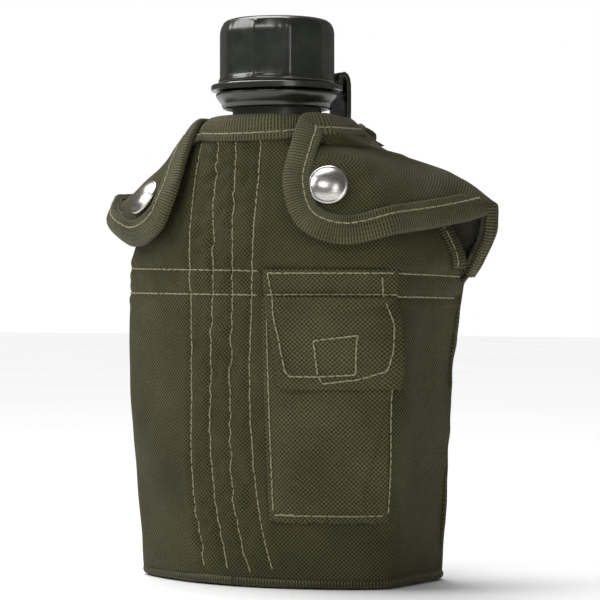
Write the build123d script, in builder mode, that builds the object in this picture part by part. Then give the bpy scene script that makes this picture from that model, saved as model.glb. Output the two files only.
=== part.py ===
"""Field canteen in a nylon cover, in millimetres.

+Z is up and -Y is the front, where the pocket is. The origin is on the neck's axis, level with the underside.
The bottle is a hollow kidney-shaped shell. The cover follows it at a fixed distance, and two hooded flaps
close over its shoulders and snap onto the front. Two steel clips on the back hold it to a belt.
"""

from build123d import *
from collections import namedtuple
from functools import lru_cache
import math
import os

os.makedirs("parts", exist_ok=True)

# ---- driving dimensions ----
COVER_TOP = 184.0  # the bound front edge, at the neck
WIDEST = 110.0  # height where the body is widest
SHOULDER = 125.0  # height where the shoulders begin to close in
HOOD_BASE = 118.0  # the flaps' hood is cut free of the body above this
RIDGE = 150.0  # height of the hood's corners
SEAM_Y = 30.0  # the side seams, and the height where they end
SEAM_TOP = 127.0

NYLON = 1.6  # the cover's cloth
FLAP_CLOTH = 2.0
PILE = 2.3
BINDING_WIDTH = 10.0
PROUD = 0.8  # how far a binding stands above its cloth
WELT_R = 2.0
PANEL_BOTTOM = 4.1
BOTTLE_INSET = 5.0
BOTTLE_WALL = 2.0
BOTTLE_FLOOR = 5.0

NECK_R = 17.8
NECK_BORE_R = 15.5
NECK_TOP = 217.5
PITCH = 5.0
THREAD = 1.6  # height of a screw thread's ridge

CAP_R = 23.0
CAP_TOP = 224.0
CAP_BOTTOM = 187.6
CAP_BORE_R = 20.2
CAP_CEILING = 220.1
SKIRT_R = 21.9
RIBS_BOTTOM = 197.5
FLUTES = 10

STRAP_ANGLE = 58.0  # where the cap's strap runs down, from +X towards the back
STRAP_R = 30.0
STRAP_WIDTH = 15.0
STRAP_THICK = 2.0
ARCH_TOP = 203.5  # the strap rises to this before it runs down
LOOP_TOP = 181.0  # the loop round the neck
LOOP_THICK = 2.4

HINGE_Y = 22.0  # the flaps fold along a sloping line in this plane
BACK_Y = 22.4  # the back's hood starts here
FLAP_SHIFT = {"right": 0.0, "left": 2.5}  # how much further out a flap's inner edge lies
FLAP_EDGE = [(24, 156), (31, 140), (47, 133.5), (66, 138.5), (84, 148), (110, 158)]
FLAP_FIELD = [(34, 157), (39, 146.5), (48.5, 143.4), (63.5, 148), (80, 157.5), (110, 170)]
NECK_GAP = 24.0  # half the width of the opening behind the neck
SNAP_X = {"right": 39.8, "left": -46.0}
SNAP_Z = {"right": 155.5, "left": 152.5}
SNAP_R = 7.6
SOCKET_R = 6.2
SOCKET_HOLE_R = 4.4
STUD_R = 2.9
STUD_FLANGE_R = 5.2

POCKET_OUTLINE = [(14.8, 26), (57.3, 26), (60, 107), (14.8, 107)]
POCKET_HOLLOW = [(17.8, 29), (54.4, 29), (57.2, 116), (17.8, 116)]
POCKET_CLOTH = 0.8
POCKET_ROOM = 2.0
ROOT_BOTTOM, ROOT_TOP = 113.5, 122.6
FLAP_OUTLINE = [(14.8, 113.2), (62, 113.2), (64.5, 78), (22, 77.5)]
PATCH = (34.5, 50, 82.5, 98)  # left, right, bottom and top of the hook-and-loop patches

CLIP_X, CLIP_Y = 28.0, 32.95
CLIP_TURN = 6.5
CLIP_WIDTH = 25.0
CLIP_PLATE = 1.0
CLIP_DEPTH = 12.8
CLIP_BOTTOM, CLIP_BEND = 38.0, 123.0
CLIP_FOOT = 56.0
WEBBING = 1.5
UNDER_WEBBING = 2.4
WEBBING_HALF = 50.0
UPPER_WEBBING = (94, 117)
LOWER_WEBBING = (61, 71)

Section = namedtuple("Section", "front_half corner apex back_half back hollow front_round back_round")


def save(name, part):
    """Labels a finished piece and writes it as parts/name.step."""
    part.label = name
    export_step(part, f"parts/{name}.step")
    print(f"{name:24s} {len(part.solids())} solids {part.volume / 1000:9.3f} cm3")


# ---- closed forms that the pieces are cut from ----
def body_section(z, flare=1.0):
    """The cover's outer section at a height: bowed front, flat sides and a hollow back.

    flare widens the back corners towards the hood, where the cover is cut wider than the bottle.
    """
    swell = math.sin(min(z, WIDEST) / WIDEST * math.pi / 2)
    close = (max(0.0, z - SHOULDER) / (COVER_TOP - SHOULDER)) ** 1.5
    wider = flare * 7.6 * min(1.0, max(0.0, (z - 80) / 47)) ** 1.5 * (1 - 0.6 * close)

    def mix(bottom, middle, top):
        return bottom + (middle - bottom) * swell + (top - middle) * close

    return Section(
        mix(57.5, 63.5, 23), mix(-12, -13, -13), mix(-32, -36, -25.5),
        mix(60, 63.5, 22) + wider, mix(37, 39.5, 24) + wider * 0.3, mix(8, 9, 0.8) + wider * 0.3,
        mix(15, 17, 10), mix(8, 8, 8),
    )


def hood_levels(side):
    """Height: section, for the hood that a flap and half the back's top are cut from."""
    base = body_section(HOOD_BASE)
    if side == "right":
        return {
            HOOD_BASE: base,
            127: Section(65.5, -16, -40.0, 75.5, 42.0, 11.2, 16, 5),
            135: Section(65, -18, -40.5, 80.5, 42.0, 11, 16, 4),
            142: Section(62.5, -19.5, -40.4, 82.5, 41.5, 10, 16, 4),
            RIDGE: Section(57.5, -20, -39.5, 82.5, 40.5, 8.5, 16, 3),
            158: Section(52.8, -19.8, -37.8, 70.5, 37.5, 6, 15, 3),
            167: Section(46.2, -19, -35.3, 51.0, 34.0, 4, 13, 4),
            175: Section(38.4, -17.5, -32.6, 34.5, 31.5, 3, 12, 5),
            COVER_TOP: Section(30.5, -15, -29.6, 21.5, 28.0, 1, 9, 7),
        }
    return {
        HOOD_BASE: base,
        127: Section(65, -13, -40.0, 74.5, 42.0, 11.2, 16, 5),
        135: Section(73, -9, -40.5, 79.5, 42.0, 11, 16, 4),
        142: Section(79.5, -5, -40.4, 82.0, 41.5, 10, 15, 4),
        RIDGE: Section(78, -2, -39.6, 82.0, 40.5, 8.5, 15, 3),
        158: Section(65, 1, -38.4, 70.0, 37.5, 6, 15, 3),
        167: Section(52, -2, -35.6, 52.0, 34.0, 4, 13, 4),
        175: Section(41, -8, -32.6, 38.0, 31.5, 3, 12, 5),
        COVER_TOP: Section(27, -15, -29.6, 22.0, 28.0, 1, 9, 7),
    }


def outline(section, z, inset=0.0):
    """A section as a sketch at height z, moved inwards by inset."""
    s = section
    front = s.front_half - inset
    back = s.back_half - inset
    with BuildSketch(Plane.XY.offset(z)) as sketch:
        with BuildLine():
            ThreePointArc((-front, s.corner + inset), (0, s.apex + inset), (front, s.corner + inset))
            Line((front, s.corner + inset), (back, s.back - inset))
            ThreePointArc((back, s.back - inset), (0, s.back - s.hollow - inset), (-back, s.back - inset))
            Line((-back, s.back - inset), (-front, s.corner + inset))
        make_face()
        corners = sketch.vertices().group_by(Axis.Y)
        fillet(corners[0], s.front_round - inset * 0.5)
        fillet(corners[-1], max(0.5, s.back_round - inset * 0.5))
    return sketch.sketch


def slab(bottom, top):
    """Everything between two heights."""
    with BuildPart() as block:
        with BuildSketch(Plane.XY.offset(bottom)):
            Rectangle(260, 200)
        extrude(amount=top - bottom)
    return block.part


def prism(points, plane, amount, both=False):
    """A straight block on a polygon, for trimming."""
    with BuildPart() as block:
        with BuildSketch(plane):
            with BuildLine():
                Polyline(*points, close=True)
            make_face()
        extrude(amount=amount, both=both)
    return block.part


def common(*parts):
    with BuildPart() as kept:
        add(parts[0])
        for other in parts[1:]:
            add(other, mode=Mode.INTERSECT)
    return kept.part


def without(part, *cutters):
    with BuildPart() as kept:
        add(part)
        for cutter in cutters:
            add(cutter, mode=Mode.SUBTRACT)
    return kept.part


def together(*parts):
    with BuildPart() as joined:
        for part in parts:
            add(part)
    return joined.part


@lru_cache(maxsize=None)
def body(inset, flare=1.0):
    """The body's closed form, moved inwards by inset, or outwards where it is negative."""
    with BuildPart() as form:
        for z in (0, 18, 40, 62, 84, 106, 127, 142, 156, 170, COVER_TOP):
            add(outline(body_section(z, flare), z, inset))
        loft()
    return form.part


@lru_cache(maxsize=None)
def hood(side, inset):
    """The hood's closed form: straight above and below its ridge."""
    levels = hood_levels(side)
    with BuildPart() as form:
        for z in levels:
            if z <= RIDGE:
                add(outline(levels[z], z, inset))
        loft()
        upper = []
        for z in levels:
            if z >= RIDGE:
                upper.append(outline(levels[z], z, inset))
        add(loft(upper, mode=Mode.PRIVATE))
    return form.part


def body_skin(outer, inner):
    return without(body(outer), body(inner))


def hood_skin(side, outer, inner):
    return without(hood(side, outer), hood(side, inner))


FRONTAL = Plane.XZ  # x to the right and height up, seen from the front


def front_window(points, outer=-90.0, inner=5.0):
    """What lies behind a shape drawn on the front, from outer to inner along Y."""
    return prism(points, FRONTAL.offset(-inner), inner - outer)


def box_points(left, right, bottom, top):
    return [(left, bottom), (right, bottom), (right, top), (left, top)]


# ---- bottle ----
def helix_ridge(radius, bottom, turns, height):
    """A screw thread's ridge on a cylinder, sunk a little into its wall; height is negative inside a bore."""
    root = -0.25 * height
    path = Helix(pitch=PITCH, height=PITCH * turns, radius=radius, center=(0, 0, bottom))
    with BuildPart() as ridge:
        with BuildSketch(Plane(origin=path @ 0, x_dir=(1, 0, 0), z_dir=path % 0)):
            with BuildLine():
                Polyline((root, -1.3), (height, -0.55), (height, 0.55), (root, 1.3), close=True)
            make_face()
        sweep(path=path, is_frenet=True)
    return ridge.part


def make_bottle():
    outside = common(body(BOTTLE_INSET, 0.0), slab(BOTTLE_FLOOR, LOOP_TOP - 4))
    inside = common(body(BOTTLE_INSET + BOTTLE_WALL, 0.0), slab(BOTTLE_FLOOR + BOTTLE_WALL, LOOP_TOP - 7))
    with BuildPart() as bottle:
        add(outside)
        fillet(bottle.faces().sort_by(Axis.Z)[0].edges(), 6)
        with BuildSketch(Plane.XY.offset(165)):
            Circle(NECK_R)
        extrude(amount=NECK_TOP - 165)
        add(helix_ridge(NECK_R, 199.0, 2.5, THREAD))
        add(inside, mode=Mode.SUBTRACT)
        with BuildSketch(Plane.XY.offset(160)):
            Circle(NECK_BORE_R)
        extrude(amount=NECK_TOP - 160, mode=Mode.SUBTRACT)
    return bottle.part


# ---- cap, seal and strap ----
def make_cap():
    with BuildPart() as cap:
        with BuildSketch(Plane.XZ):
            with BuildLine():
                Polyline(
                    (0, CAP_TOP), (CAP_R, CAP_TOP), (CAP_R, RIBS_BOTTOM), (SKIRT_R, RIBS_BOTTOM), (SKIRT_R, 194.4),
                    (24.4, 194.2), (24.4, 193.2), (22.4, 190.2), (22.4, 189.0), (21.6, CAP_BOTTOM),
                    (0, CAP_BOTTOM), close=True,
                )
            make_face()
        revolve(axis=Axis.Z)
        fillet(cap.faces().sort_by(Axis.Z)[-1].edges(), 4.8)
        with BuildSketch(Plane.XY.offset(RIBS_BOTTOM)):
            with PolarLocations(CAP_R + 39, FLUTES, start_angle=8):
                Circle(40)
        extrude(amount=CAP_TOP - RIBS_BOTTOM + 1, mode=Mode.SUBTRACT)
        with BuildSketch(Plane.XY.offset(CAP_BOTTOM)):
            Circle(CAP_BORE_R)
        extrude(amount=CAP_CEILING - CAP_BOTTOM, mode=Mode.SUBTRACT)
        add(helix_ridge(CAP_BORE_R, 201.5, 1.5, -THREAD))
    return cap.part


def ring(outer, inner, bottom, top):
    with BuildPart() as band:
        with BuildSketch(Plane.XY.offset(bottom)):
            Circle(outer)
            Circle(inner, mode=Mode.SUBTRACT)
        extrude(amount=top - bottom)
    return band.part


def drum(radius, bottom, top):
    with BuildPart() as block:
        with BuildSketch(Plane.XY.offset(bottom)):
            Circle(radius)
        extrude(amount=top - bottom)
    return block.part


def strap_block(near, far, bottom, top):
    """A block on the strap's line, between two distances from the neck's axis."""
    turned = Plane(origin=(0, 0, bottom), x_dir=Vector(1, 0, 0).rotate(Axis.Z, STRAP_ANGLE), z_dir=(0, 0, 1))
    with BuildPart() as block:
        with BuildSketch(turned):
            with Locations(((near + far) / 2, 0)):
                Rectangle(far - near, STRAP_WIDTH)
        extrude(amount=top - bottom)
    return block.part


def make_cap_loop():
    bore = SKIRT_R + 0.1
    upright = strap_block(24.6, 26.6, 194.8, ARCH_TOP)
    over = strap_block(24.6, STRAP_R, ARCH_TOP - STRAP_THICK, ARCH_TOP)
    return without(together(ring(26.4, bore, 194.8, 197.4), upright, over), drum(bore, 194, 198))


def make_neck_loop():
    bottom = LOOP_TOP - LOOP_THICK
    lug = strap_block(19.0, STRAP_R - STRAP_THICK, bottom, LOOP_TOP)
    loop = together(ring(21.0, NECK_R + 0.2, bottom, LOOP_TOP), lug)
    return without(loop, drum(NECK_R + 0.2, bottom - 1, LOOP_TOP + 1))


def make_strap():
    return strap_block(STRAP_R - STRAP_THICK, STRAP_R, LOOP_TOP - LOOP_THICK, ARCH_TOP - STRAP_THICK)


# ---- cover: front, back and bottom ----
FRONT_EDGE = [(-95, -15), (-95, SEAM_TOP), (-76, SEAM_TOP), (-63, 149), (-31, 178), (-18, COVER_TOP + 0.5),
              (18, COVER_TOP + 0.5), (31, 178), (63, 149), (76, SEAM_TOP), (95, SEAM_TOP), (95, -15)]


def front_region(lowered=0.0):
    """What lies under the front panel's top edge."""
    with BuildPart() as region:
        with BuildSketch(FRONTAL):
            with BuildLine():
                Polyline(*FRONT_EDGE, close=True)
            make_face()
            if lowered:
                offset(amount=-lowered, kind=Kind.INTERSECTION)
        extrude(amount=90, both=True)
    return region.part


def back_region():
    """The back, behind the side seams, and the hollow between them."""
    plan = [(-120, SEAM_Y), (-50, SEAM_Y), (-46, 12), (46, 12), (50, SEAM_Y), (120, SEAM_Y), (120, 70), (-120, 70)]
    return prism(plan, Plane.XY.offset(-5), 200)


def front_layer(outer, inner):
    """A layer of the front, under its binding."""
    layer = common(body_skin(outer, inner), front_region(BINDING_WIDTH), slab(PANEL_BOTTOM, 190))
    return without(layer, back_region())


def make_front_binding():
    """The tape round the front's top edge, kept clear of the flaps' own tape above the ridge."""
    band = common(body_skin(-PROUD, NYLON + PILE + 0.3), front_region())
    clear = []
    for side in ("right", "left"):
        clear.append(common(hood_skin(side, -PROUD, FLAP_CLOTH + 0.7), slab(RIDGE, 190)))
    return without(band, front_region(BINDING_WIDTH), back_region(), *clear)


def half_space(side):
    sign = 1 if side == "right" else -1
    return prism([(0, -100), (sign * 130, -100), (sign * 130, 100), (0, 100)], Plane.XY.offset(100), 100)


def back_hood(side, outer, inner):
    """A side's share of the back above HOOD_BASE: behind the side seam, and behind the fold above the ridge."""
    low = prism([(-130, SEAM_Y), (130, SEAM_Y), (130, 70), (-130, 70)], Plane.XY.offset(HOOD_BASE), RIDGE - HOOD_BASE)
    high = prism([(-130, BACK_Y), (130, BACK_Y), (130, 70), (-130, 70)], Plane.XY.offset(RIDGE), 40)
    region = common(together(low, high), half_space(side))
    return common(hood_skin(side, outer, inner), region)


def back_layer(outer, inner, hood_outer, hood_inner, neck_edge):
    """A layer of the back, cut away behind the neck above neck_edge."""
    lower = common(body_skin(outer, inner), back_region(), slab(PANEL_BOTTOM, HOOD_BASE))
    right = back_hood("right", hood_outer, hood_inner)
    left = back_hood("left", hood_outer, hood_inner)
    neck = prism(box_points(-NECK_GAP, NECK_GAP, neck_edge, 200), FRONTAL, 90, both=True)
    return without(together(lower, right, left), neck)


def make_bottom_panel():
    with BuildPart() as panel:
        add(outline(body_section(0, 0.0), 0, 3.3))
        extrude(amount=NYLON)
    return panel.part


def make_bottom_lining():
    with BuildPart() as lining:
        add(outline(body_section(0, 0.0), NYLON, 4.5))
        extrude(amount=PILE)
    return lining.part


def make_bottom_welt():
    path_face = outline(body_section(0, 0.0), WELT_R, 1.2)
    path = path_face.faces()[0].outer_wire()
    start = path @ 0
    with BuildPart() as welt:
        with BuildSketch(Plane(origin=start, z_dir=path % 0)):
            Circle(WELT_R)
        sweep(path=path, transition=Transition.ROUND)
    return welt.part


# ---- flaps ----
def flap_region(side, edge):
    """What lies inside a flap's curved edge seen from the front, from the fold forwards."""
    sign = 1 if side == "right" else -1
    shift = FLAP_SHIFT[side]
    points = [(sign * (x + shift * (x < 60)), z) for x, z in edge]
    inner = points[0][0]
    with BuildPart() as region:
        with BuildSketch(FRONTAL.offset(-HINGE_Y)):
            with BuildLine():
                Line((inner, 200), points[0])
                Spline(*points[:-1], tangents=((0, -1), (sign * 0.9, 0.3)))
                Polyline(points[-2], points[-1], (points[-1][0], 200), (inner, 200))
            make_face()
        extrude(amount=90)
    return region.part


def snap_plane(side):
    """The plane on a flap's outer face that its snap is set square to, and the panel's depth below it."""
    line = Axis((SNAP_X[side], -100, SNAP_Z[side]), (0, 1, 0))
    point, normal = hood(side, 0).find_intersection_points(line)[0]
    below = body(0).find_intersection_points(Axis(point, -normal))[0][0]
    return Plane(origin=point, z_dir=normal), (below - point).length


def turned_on(plane, points):
    """A solid of revolution on a plane's normal; each point is a radius and a height above the plane."""
    with BuildPart() as turned:
        with BuildSketch(Plane.XZ):
            with BuildLine():
                Polyline(*points, close=True)
            make_face()
        revolve(axis=Axis.Z)
    return turned.part.moved(plane.location)


def make_snap_cap(plane):
    with BuildPart() as cap:
        with BuildSketch(Plane.XZ):
            with BuildLine():
                ThreePointArc((0, 3.0), (SNAP_R * 0.62, 2.1), (SNAP_R, 0.5))
                Polyline((SNAP_R, 0.5), (SNAP_R, 0.0), (2.0, 0.0), (2.0, -2.6), (0, -2.6), (0, 3.0))
            make_face()
        revolve(axis=Axis.Z)
    return cap.part.moved(plane.location)


def make_snap_socket(plane):
    top = -FLAP_CLOTH
    return turned_on(plane, [
        (2.0, top), (SOCKET_R, top), (SOCKET_R, top - 2.0), (SOCKET_HOLE_R, top - 2.0), (SOCKET_HOLE_R, top - 0.8),
        (2.0, top - 0.8),
    ])


def make_snap_stud(plane, depth):
    base = -depth
    return turned_on(plane, [
        (1.2, base - 0.3), (STUD_FLANGE_R, base - 0.3), (STUD_FLANGE_R, base + 0.2), (2.2, base + 0.3),
        (2.2, base + 0.8), (STUD_R, base + 1.1), (STUD_R, -FLAP_CLOTH - 1.5), (2.2, -FLAP_CLOTH - 1.2),
        (1.2, -FLAP_CLOTH - 1.2),
    ])


def make_snap_post(plane, depth):
    back = -depth - NYLON
    return turned_on(plane, [
        (0, back - 0.9), (4.6, back - 0.9), (4.6, back - 0.2), (1.2, back - 0.2), (1.2, -FLAP_CLOTH - 1.4),
        (0, -FLAP_CLOTH - 1.4),
    ])


def save_flap_and_snap(side):
    """Writes a flap with its binding and its snap; returns what the front's layers make room for."""
    plane, depth = snap_plane(side)
    print(side, "snap at", plane.origin, "normal", plane.z_dir, "panel", round(depth, 2), "below")
    cap = make_snap_cap(plane)
    socket = make_snap_socket(plane)
    stud = make_snap_stud(plane, depth)
    post = make_snap_post(plane, depth)
    whole = flap_region(side, FLAP_EDGE)
    field = flap_region(side, FLAP_FIELD)
    flap = common(hood_skin(side, 0, FLAP_CLOTH), field)
    binding = without(common(hood_skin(side, -PROUD, FLAP_CLOTH + 0.3), whole), field)
    save(f"flap_{side}", without(flap, cap, socket))
    save(f"flap_binding_{side}", without(binding, cap, socket))
    save(f"snap_cap_{side}", cap)
    save(f"snap_socket_{side}", socket)
    save(f"snap_stud_{side}", stud)
    save(f"snap_post_{side}", post)
    return [stud, post]


# ---- pocket ----
def pocket_layer(outer, inner, points):
    """A layer standing off the front panel, inside a shape drawn on the front."""
    return common(body_skin(outer, inner), front_window(points, -90, -2))


def make_pocket():
    block = pocket_layer(-POCKET_ROOM - POCKET_CLOTH, 0, POCKET_OUTLINE)
    return without(block, pocket_layer(-POCKET_ROOM, 0, POCKET_HOLLOW))


def stepped_form(offsets):
    """The body's form with a different distance outwards at each height."""
    with BuildPart() as form:
        for z, out in offsets.items():
            add(outline(body_section(z), z, -out))
        loft(ruled=True)
    return form.part


def make_pocket_flap():
    outer = {76: 5.2, 86: 5.2, 96: 5.2, 104: 5.2, 106.5: 4.8, 110: 3.2, 113.5: 0.9}
    inner = {z: out - POCKET_CLOTH for z, out in outer.items()}
    with BuildPart() as form:
        add(stepped_form(outer))
        add(stepped_form(inner), mode=Mode.SUBTRACT)
    flap = common(form.part, front_window(FLAP_OUTLINE, -90, -2))
    return without(flap, body(-0.05))


# ---- belt clips ----
def clip_plane():
    """Across the right clip: x away from the back and y up; its normal runs along the clip's width."""
    turn = math.radians(CLIP_TURN)
    away = Vector(-math.sin(turn), math.cos(turn), 0)
    return Plane(origin=(CLIP_X, CLIP_Y, 0), x_dir=away, z_dir=away.cross(Vector(0, 0, 1)))


def clip_bar(near, far, bottom, top, width, centre=0.0):
    """A block on the right clip, from near to far away from the back."""
    with BuildPart() as bar:
        with BuildSketch(clip_plane().offset(centre - width / 2)):
            with Locations(((near + far) / 2, (bottom + top) / 2)):
                Rectangle(far - near, top - bottom)
        extrude(amount=width)
    return bar.part


def make_belt_clip():
    outer_leg = CLIP_DEPTH - CLIP_PLATE
    with BuildPart() as clip:
        with BuildSketch(clip_plane().offset(-CLIP_WIDTH / 2)):
            with Locations((CLIP_DEPTH / 2, CLIP_BEND)):
                Circle(CLIP_DEPTH / 2)
                Circle(CLIP_DEPTH / 2 - CLIP_PLATE, mode=Mode.SUBTRACT)
            with Locations((CLIP_DEPTH / 2, CLIP_BEND - 10)):
                Rectangle(CLIP_DEPTH + 2, 20, mode=Mode.SUBTRACT)
        extrude(amount=CLIP_WIDTH)
        add(clip_bar(0, CLIP_PLATE, CLIP_BOTTOM, CLIP_BEND, CLIP_WIDTH))
        add(clip_bar(outer_leg, CLIP_DEPTH, CLIP_FOOT, CLIP_BEND, CLIP_WIDTH))
        add(clip_bar(3.4, CLIP_DEPTH, CLIP_FOOT, CLIP_FOOT + 1, 16))
        add(clip_bar(3.4, 4.2, CLIP_FOOT - 3.5, CLIP_FOOT + 1, 16))
    return clip.part


def make_clip_slide():
    bottom = CLIP_FOOT - 10
    half = CLIP_WIDTH / 2
    with BuildPart() as slide:
        add(clip_bar(CLIP_PLATE + 0.05, 2.2, bottom, bottom + 14, CLIP_WIDTH + 1.8))
        add(clip_bar(0.0, 2.2, bottom, bottom + 14, 0.8, centre=half + 0.5))
        add(clip_bar(0.0, 2.2, bottom, bottom + 14, 0.8, centre=-half - 0.5))
        add(clip_bar(2.2, 5.4, bottom, bottom + 1, 16))
        add(clip_bar(4.45, 5.4, bottom, bottom + 8.5, 16))
    return slide.part


def make_webbing(bottom, top):
    """Sewn flat to the back in the middle and at the ends, and raised over each clip."""
    near = CLIP_X - CLIP_WIDTH / 2 - 2.2
    far = CLIP_X + CLIP_WIDTH / 2 + 2.2
    raised = -UNDER_WEBBING - WEBBING

    def strip(outer, inner, left, right):
        window = prism(box_points(left, right, bottom, top), FRONTAL.offset(-80), 70)
        return common(body_skin(outer, inner), window)

    return together(
        strip(-WEBBING, 0, -WEBBING_HALF, -far + WEBBING), strip(raised, 0, -far, -far + WEBBING),
        strip(raised, -UNDER_WEBBING, -far, -near), strip(raised, 0, -near - WEBBING, -near),
        strip(-WEBBING, 0, -near - WEBBING, near + WEBBING), strip(raised, 0, near, near + WEBBING),
        strip(raised, -UNDER_WEBBING, near, far), strip(raised, 0, far - WEBBING, far),
        strip(-WEBBING, 0, far - WEBBING, WEBBING_HALF),
    )


def make_cap_seal():
    return ring(CAP_BORE_R - 0.3, 9.0, NECK_TOP + 0.1, CAP_CEILING)


if __name__ == "__main__":
    save("bottle", make_bottle())
    save("cap", make_cap())
    save("cap_seal", make_cap_seal())
    save("cap_loop", make_cap_loop())
    save("neck_loop", make_neck_loop())
    save("cap_strap", make_strap())
    fittings = save_flap_and_snap("right") + save_flap_and_snap("left")
    save("front_panel", without(front_layer(0, NYLON), *fittings))
    save("front_lining", without(front_layer(NYLON, NYLON + PILE), *fittings))
    save("front_binding", without(make_front_binding(), *fittings))
    save("back_panel", back_layer(0, NYLON, 0, FLAP_CLOTH, 176))
    back_lining = back_layer(NYLON, NYLON + PILE, FLAP_CLOTH, FLAP_CLOTH + PILE, 172)
    save("back_lining", without(back_lining, body(BOTTLE_INSET - 0.1, 0.0)))
    save("bottom_panel", make_bottom_panel())
    save("bottom_lining", make_bottom_lining())
    save("bottom_welt", without(make_bottom_welt(), make_bottom_panel()))
    save("pocket", make_pocket())
    pocket_flap = make_pocket_flap()
    save("pocket_flap", pocket_flap)
    save("pocket_flap_root", pocket_layer(-POCKET_CLOTH, 0, box_points(14.8, 62, ROOT_BOTTOM, ROOT_TOP)))
    save("loop_patch", pocket_layer(-3.4, -2.8, box_points(*PATCH)))
    save("hook_patch", without(pocket_layer(-4.5, -3.75, box_points(*PATCH)), pocket_flap))
    save("webbing_upper", make_webbing(*UPPER_WEBBING))
    save("webbing_lower", make_webbing(*LOWER_WEBBING))
    right_clip = make_belt_clip()
    right_slide = make_clip_slide()
    save("belt_clip_right", right_clip)
    save("clip_slide_right", right_slide)
    save("belt_clip_left", right_clip.mirror(Plane.YZ))
    save("clip_slide_left", right_slide.mirror(Plane.YZ))
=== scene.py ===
# %% [markdown]
# A field canteen in its padded nylon belt cover.
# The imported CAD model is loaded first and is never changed: it says where everything goes.
# Each visible piece is then made again beside it, with the folds, seams and finishes of the real one.

# %% Load the frame
import math
import random
from functools import lru_cache

import bpy
import numpy as np
from mathutils import Matrix, Vector, noise


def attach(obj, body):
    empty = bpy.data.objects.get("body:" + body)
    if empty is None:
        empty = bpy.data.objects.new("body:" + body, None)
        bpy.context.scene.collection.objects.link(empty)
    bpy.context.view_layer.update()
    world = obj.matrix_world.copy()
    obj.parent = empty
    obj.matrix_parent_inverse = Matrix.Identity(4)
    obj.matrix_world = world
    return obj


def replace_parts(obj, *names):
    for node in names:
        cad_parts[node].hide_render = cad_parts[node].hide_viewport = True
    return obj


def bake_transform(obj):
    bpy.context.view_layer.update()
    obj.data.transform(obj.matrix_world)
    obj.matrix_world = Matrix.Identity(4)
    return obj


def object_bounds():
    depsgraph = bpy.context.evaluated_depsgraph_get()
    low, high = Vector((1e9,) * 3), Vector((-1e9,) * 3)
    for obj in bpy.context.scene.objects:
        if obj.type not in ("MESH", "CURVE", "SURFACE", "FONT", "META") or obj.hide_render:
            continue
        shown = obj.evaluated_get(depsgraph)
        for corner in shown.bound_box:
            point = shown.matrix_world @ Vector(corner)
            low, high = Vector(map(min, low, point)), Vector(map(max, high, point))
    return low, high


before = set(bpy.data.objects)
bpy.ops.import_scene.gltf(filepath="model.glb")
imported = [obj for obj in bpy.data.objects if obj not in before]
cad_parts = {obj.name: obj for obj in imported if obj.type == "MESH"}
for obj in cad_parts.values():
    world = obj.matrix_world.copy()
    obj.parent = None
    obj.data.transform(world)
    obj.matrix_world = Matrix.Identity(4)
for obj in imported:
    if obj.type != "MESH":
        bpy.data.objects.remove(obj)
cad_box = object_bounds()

MM = 0.001

# %% [markdown]
# Finishes come before pieces. A finish is a Principled shader with nodes in front of it, and two small
# helpers keep each recipe short: one adds a node and sets its sockets, one wires a chain of maths.

# %% Helpers for finishes
def add_node(tree, kind, **sockets):
    node = tree.nodes.new(kind)
    for socket, value in sockets.items():
        node.inputs[socket.replace("_", " ")].default_value = value
    return node


def maths(tree, operation, a, b=None):
    """One Math node on two inputs, each a socket or a number; returns its output."""
    node = tree.nodes.new("ShaderNodeMath")
    node.operation = operation
    for slot, value in enumerate((a, b)):
        if value is None:
            continue
        if isinstance(value, (int, float)):
            node.inputs[slot].default_value = value
        else:
            tree.links.new(value, node.inputs[slot])
    return node.outputs[0]


def new_finish(name, roughness, **sockets):
    """A material with a Principled shader set up; returns the material, its node tree and the shader."""
    finish = bpy.data.materials.new(name)
    finish.use_nodes = True
    tree = finish.node_tree
    shader = tree.nodes["Principled BSDF"]
    shader.inputs["Roughness"].default_value = roughness
    for socket, value in sockets.items():
        shader.inputs[socket.replace("_", " ")].default_value = value
    return finish, tree, shader


def where(tree, uv=False):
    """The coordinates that a pattern follows: the piece's own UV map in metres, or its place."""
    node = tree.nodes.new("ShaderNodeTexCoord")
    return node.outputs["UV" if uv else "Object"]


def mottle(tree, coordinates, scale, detail=3.0, stretch=None):
    """Noise between 0 and 1, scale in features per metre."""
    source = coordinates
    if stretch:
        mapping = tree.nodes.new("ShaderNodeMapping")
        mapping.inputs["Scale"].default_value = stretch
        tree.links.new(coordinates, mapping.inputs["Vector"])
        source = mapping.outputs["Vector"]
    texture = add_node(tree, "ShaderNodeTexNoise", Scale=scale, Detail=detail)
    tree.links.new(source, texture.inputs["Vector"])
    return texture.outputs["Fac"]


def tone(tree, factor, dark, light, low=0.3, high=0.7):
    """A colour between dark and light as factor goes from low to high."""
    ramp = tree.nodes.new("ShaderNodeValToRGB")
    ramp.color_ramp.elements[0].position = low
    ramp.color_ramp.elements[1].position = high
    ramp.color_ramp.elements[0].color = (*dark, 1)
    ramp.color_ramp.elements[1].color = (*light, 1)
    tree.links.new(factor, ramp.inputs["Fac"])
    return ramp.outputs["Color"]


def shade(tree, colour, factor, amount):
    """Multiplies a colour by 1 - amount + amount * factor."""
    grey = maths(tree, "ADD", maths(tree, "MULTIPLY", factor, amount), 1 - amount)
    mix = tree.nodes.new("ShaderNodeMix")
    mix.data_type = "RGBA"
    mix.blend_type = "MULTIPLY"
    mix.inputs["Factor"].default_value = 1
    tree.links.new(colour, mix.inputs["A"])
    tree.links.new(grey, mix.inputs["B"])
    return mix.outputs["Result"]


def emboss(tree, shader, height, depth_mm, strength=1.0):
    """Bumps the surface by a height between 0 and 1."""
    bump = add_node(tree, "ShaderNodeBump", Strength=strength, Distance=depth_mm * MM)
    tree.links.new(height, bump.inputs["Height"])
    tree.links.new(bump.outputs["Normal"], shader.inputs["Normal"])


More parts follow.
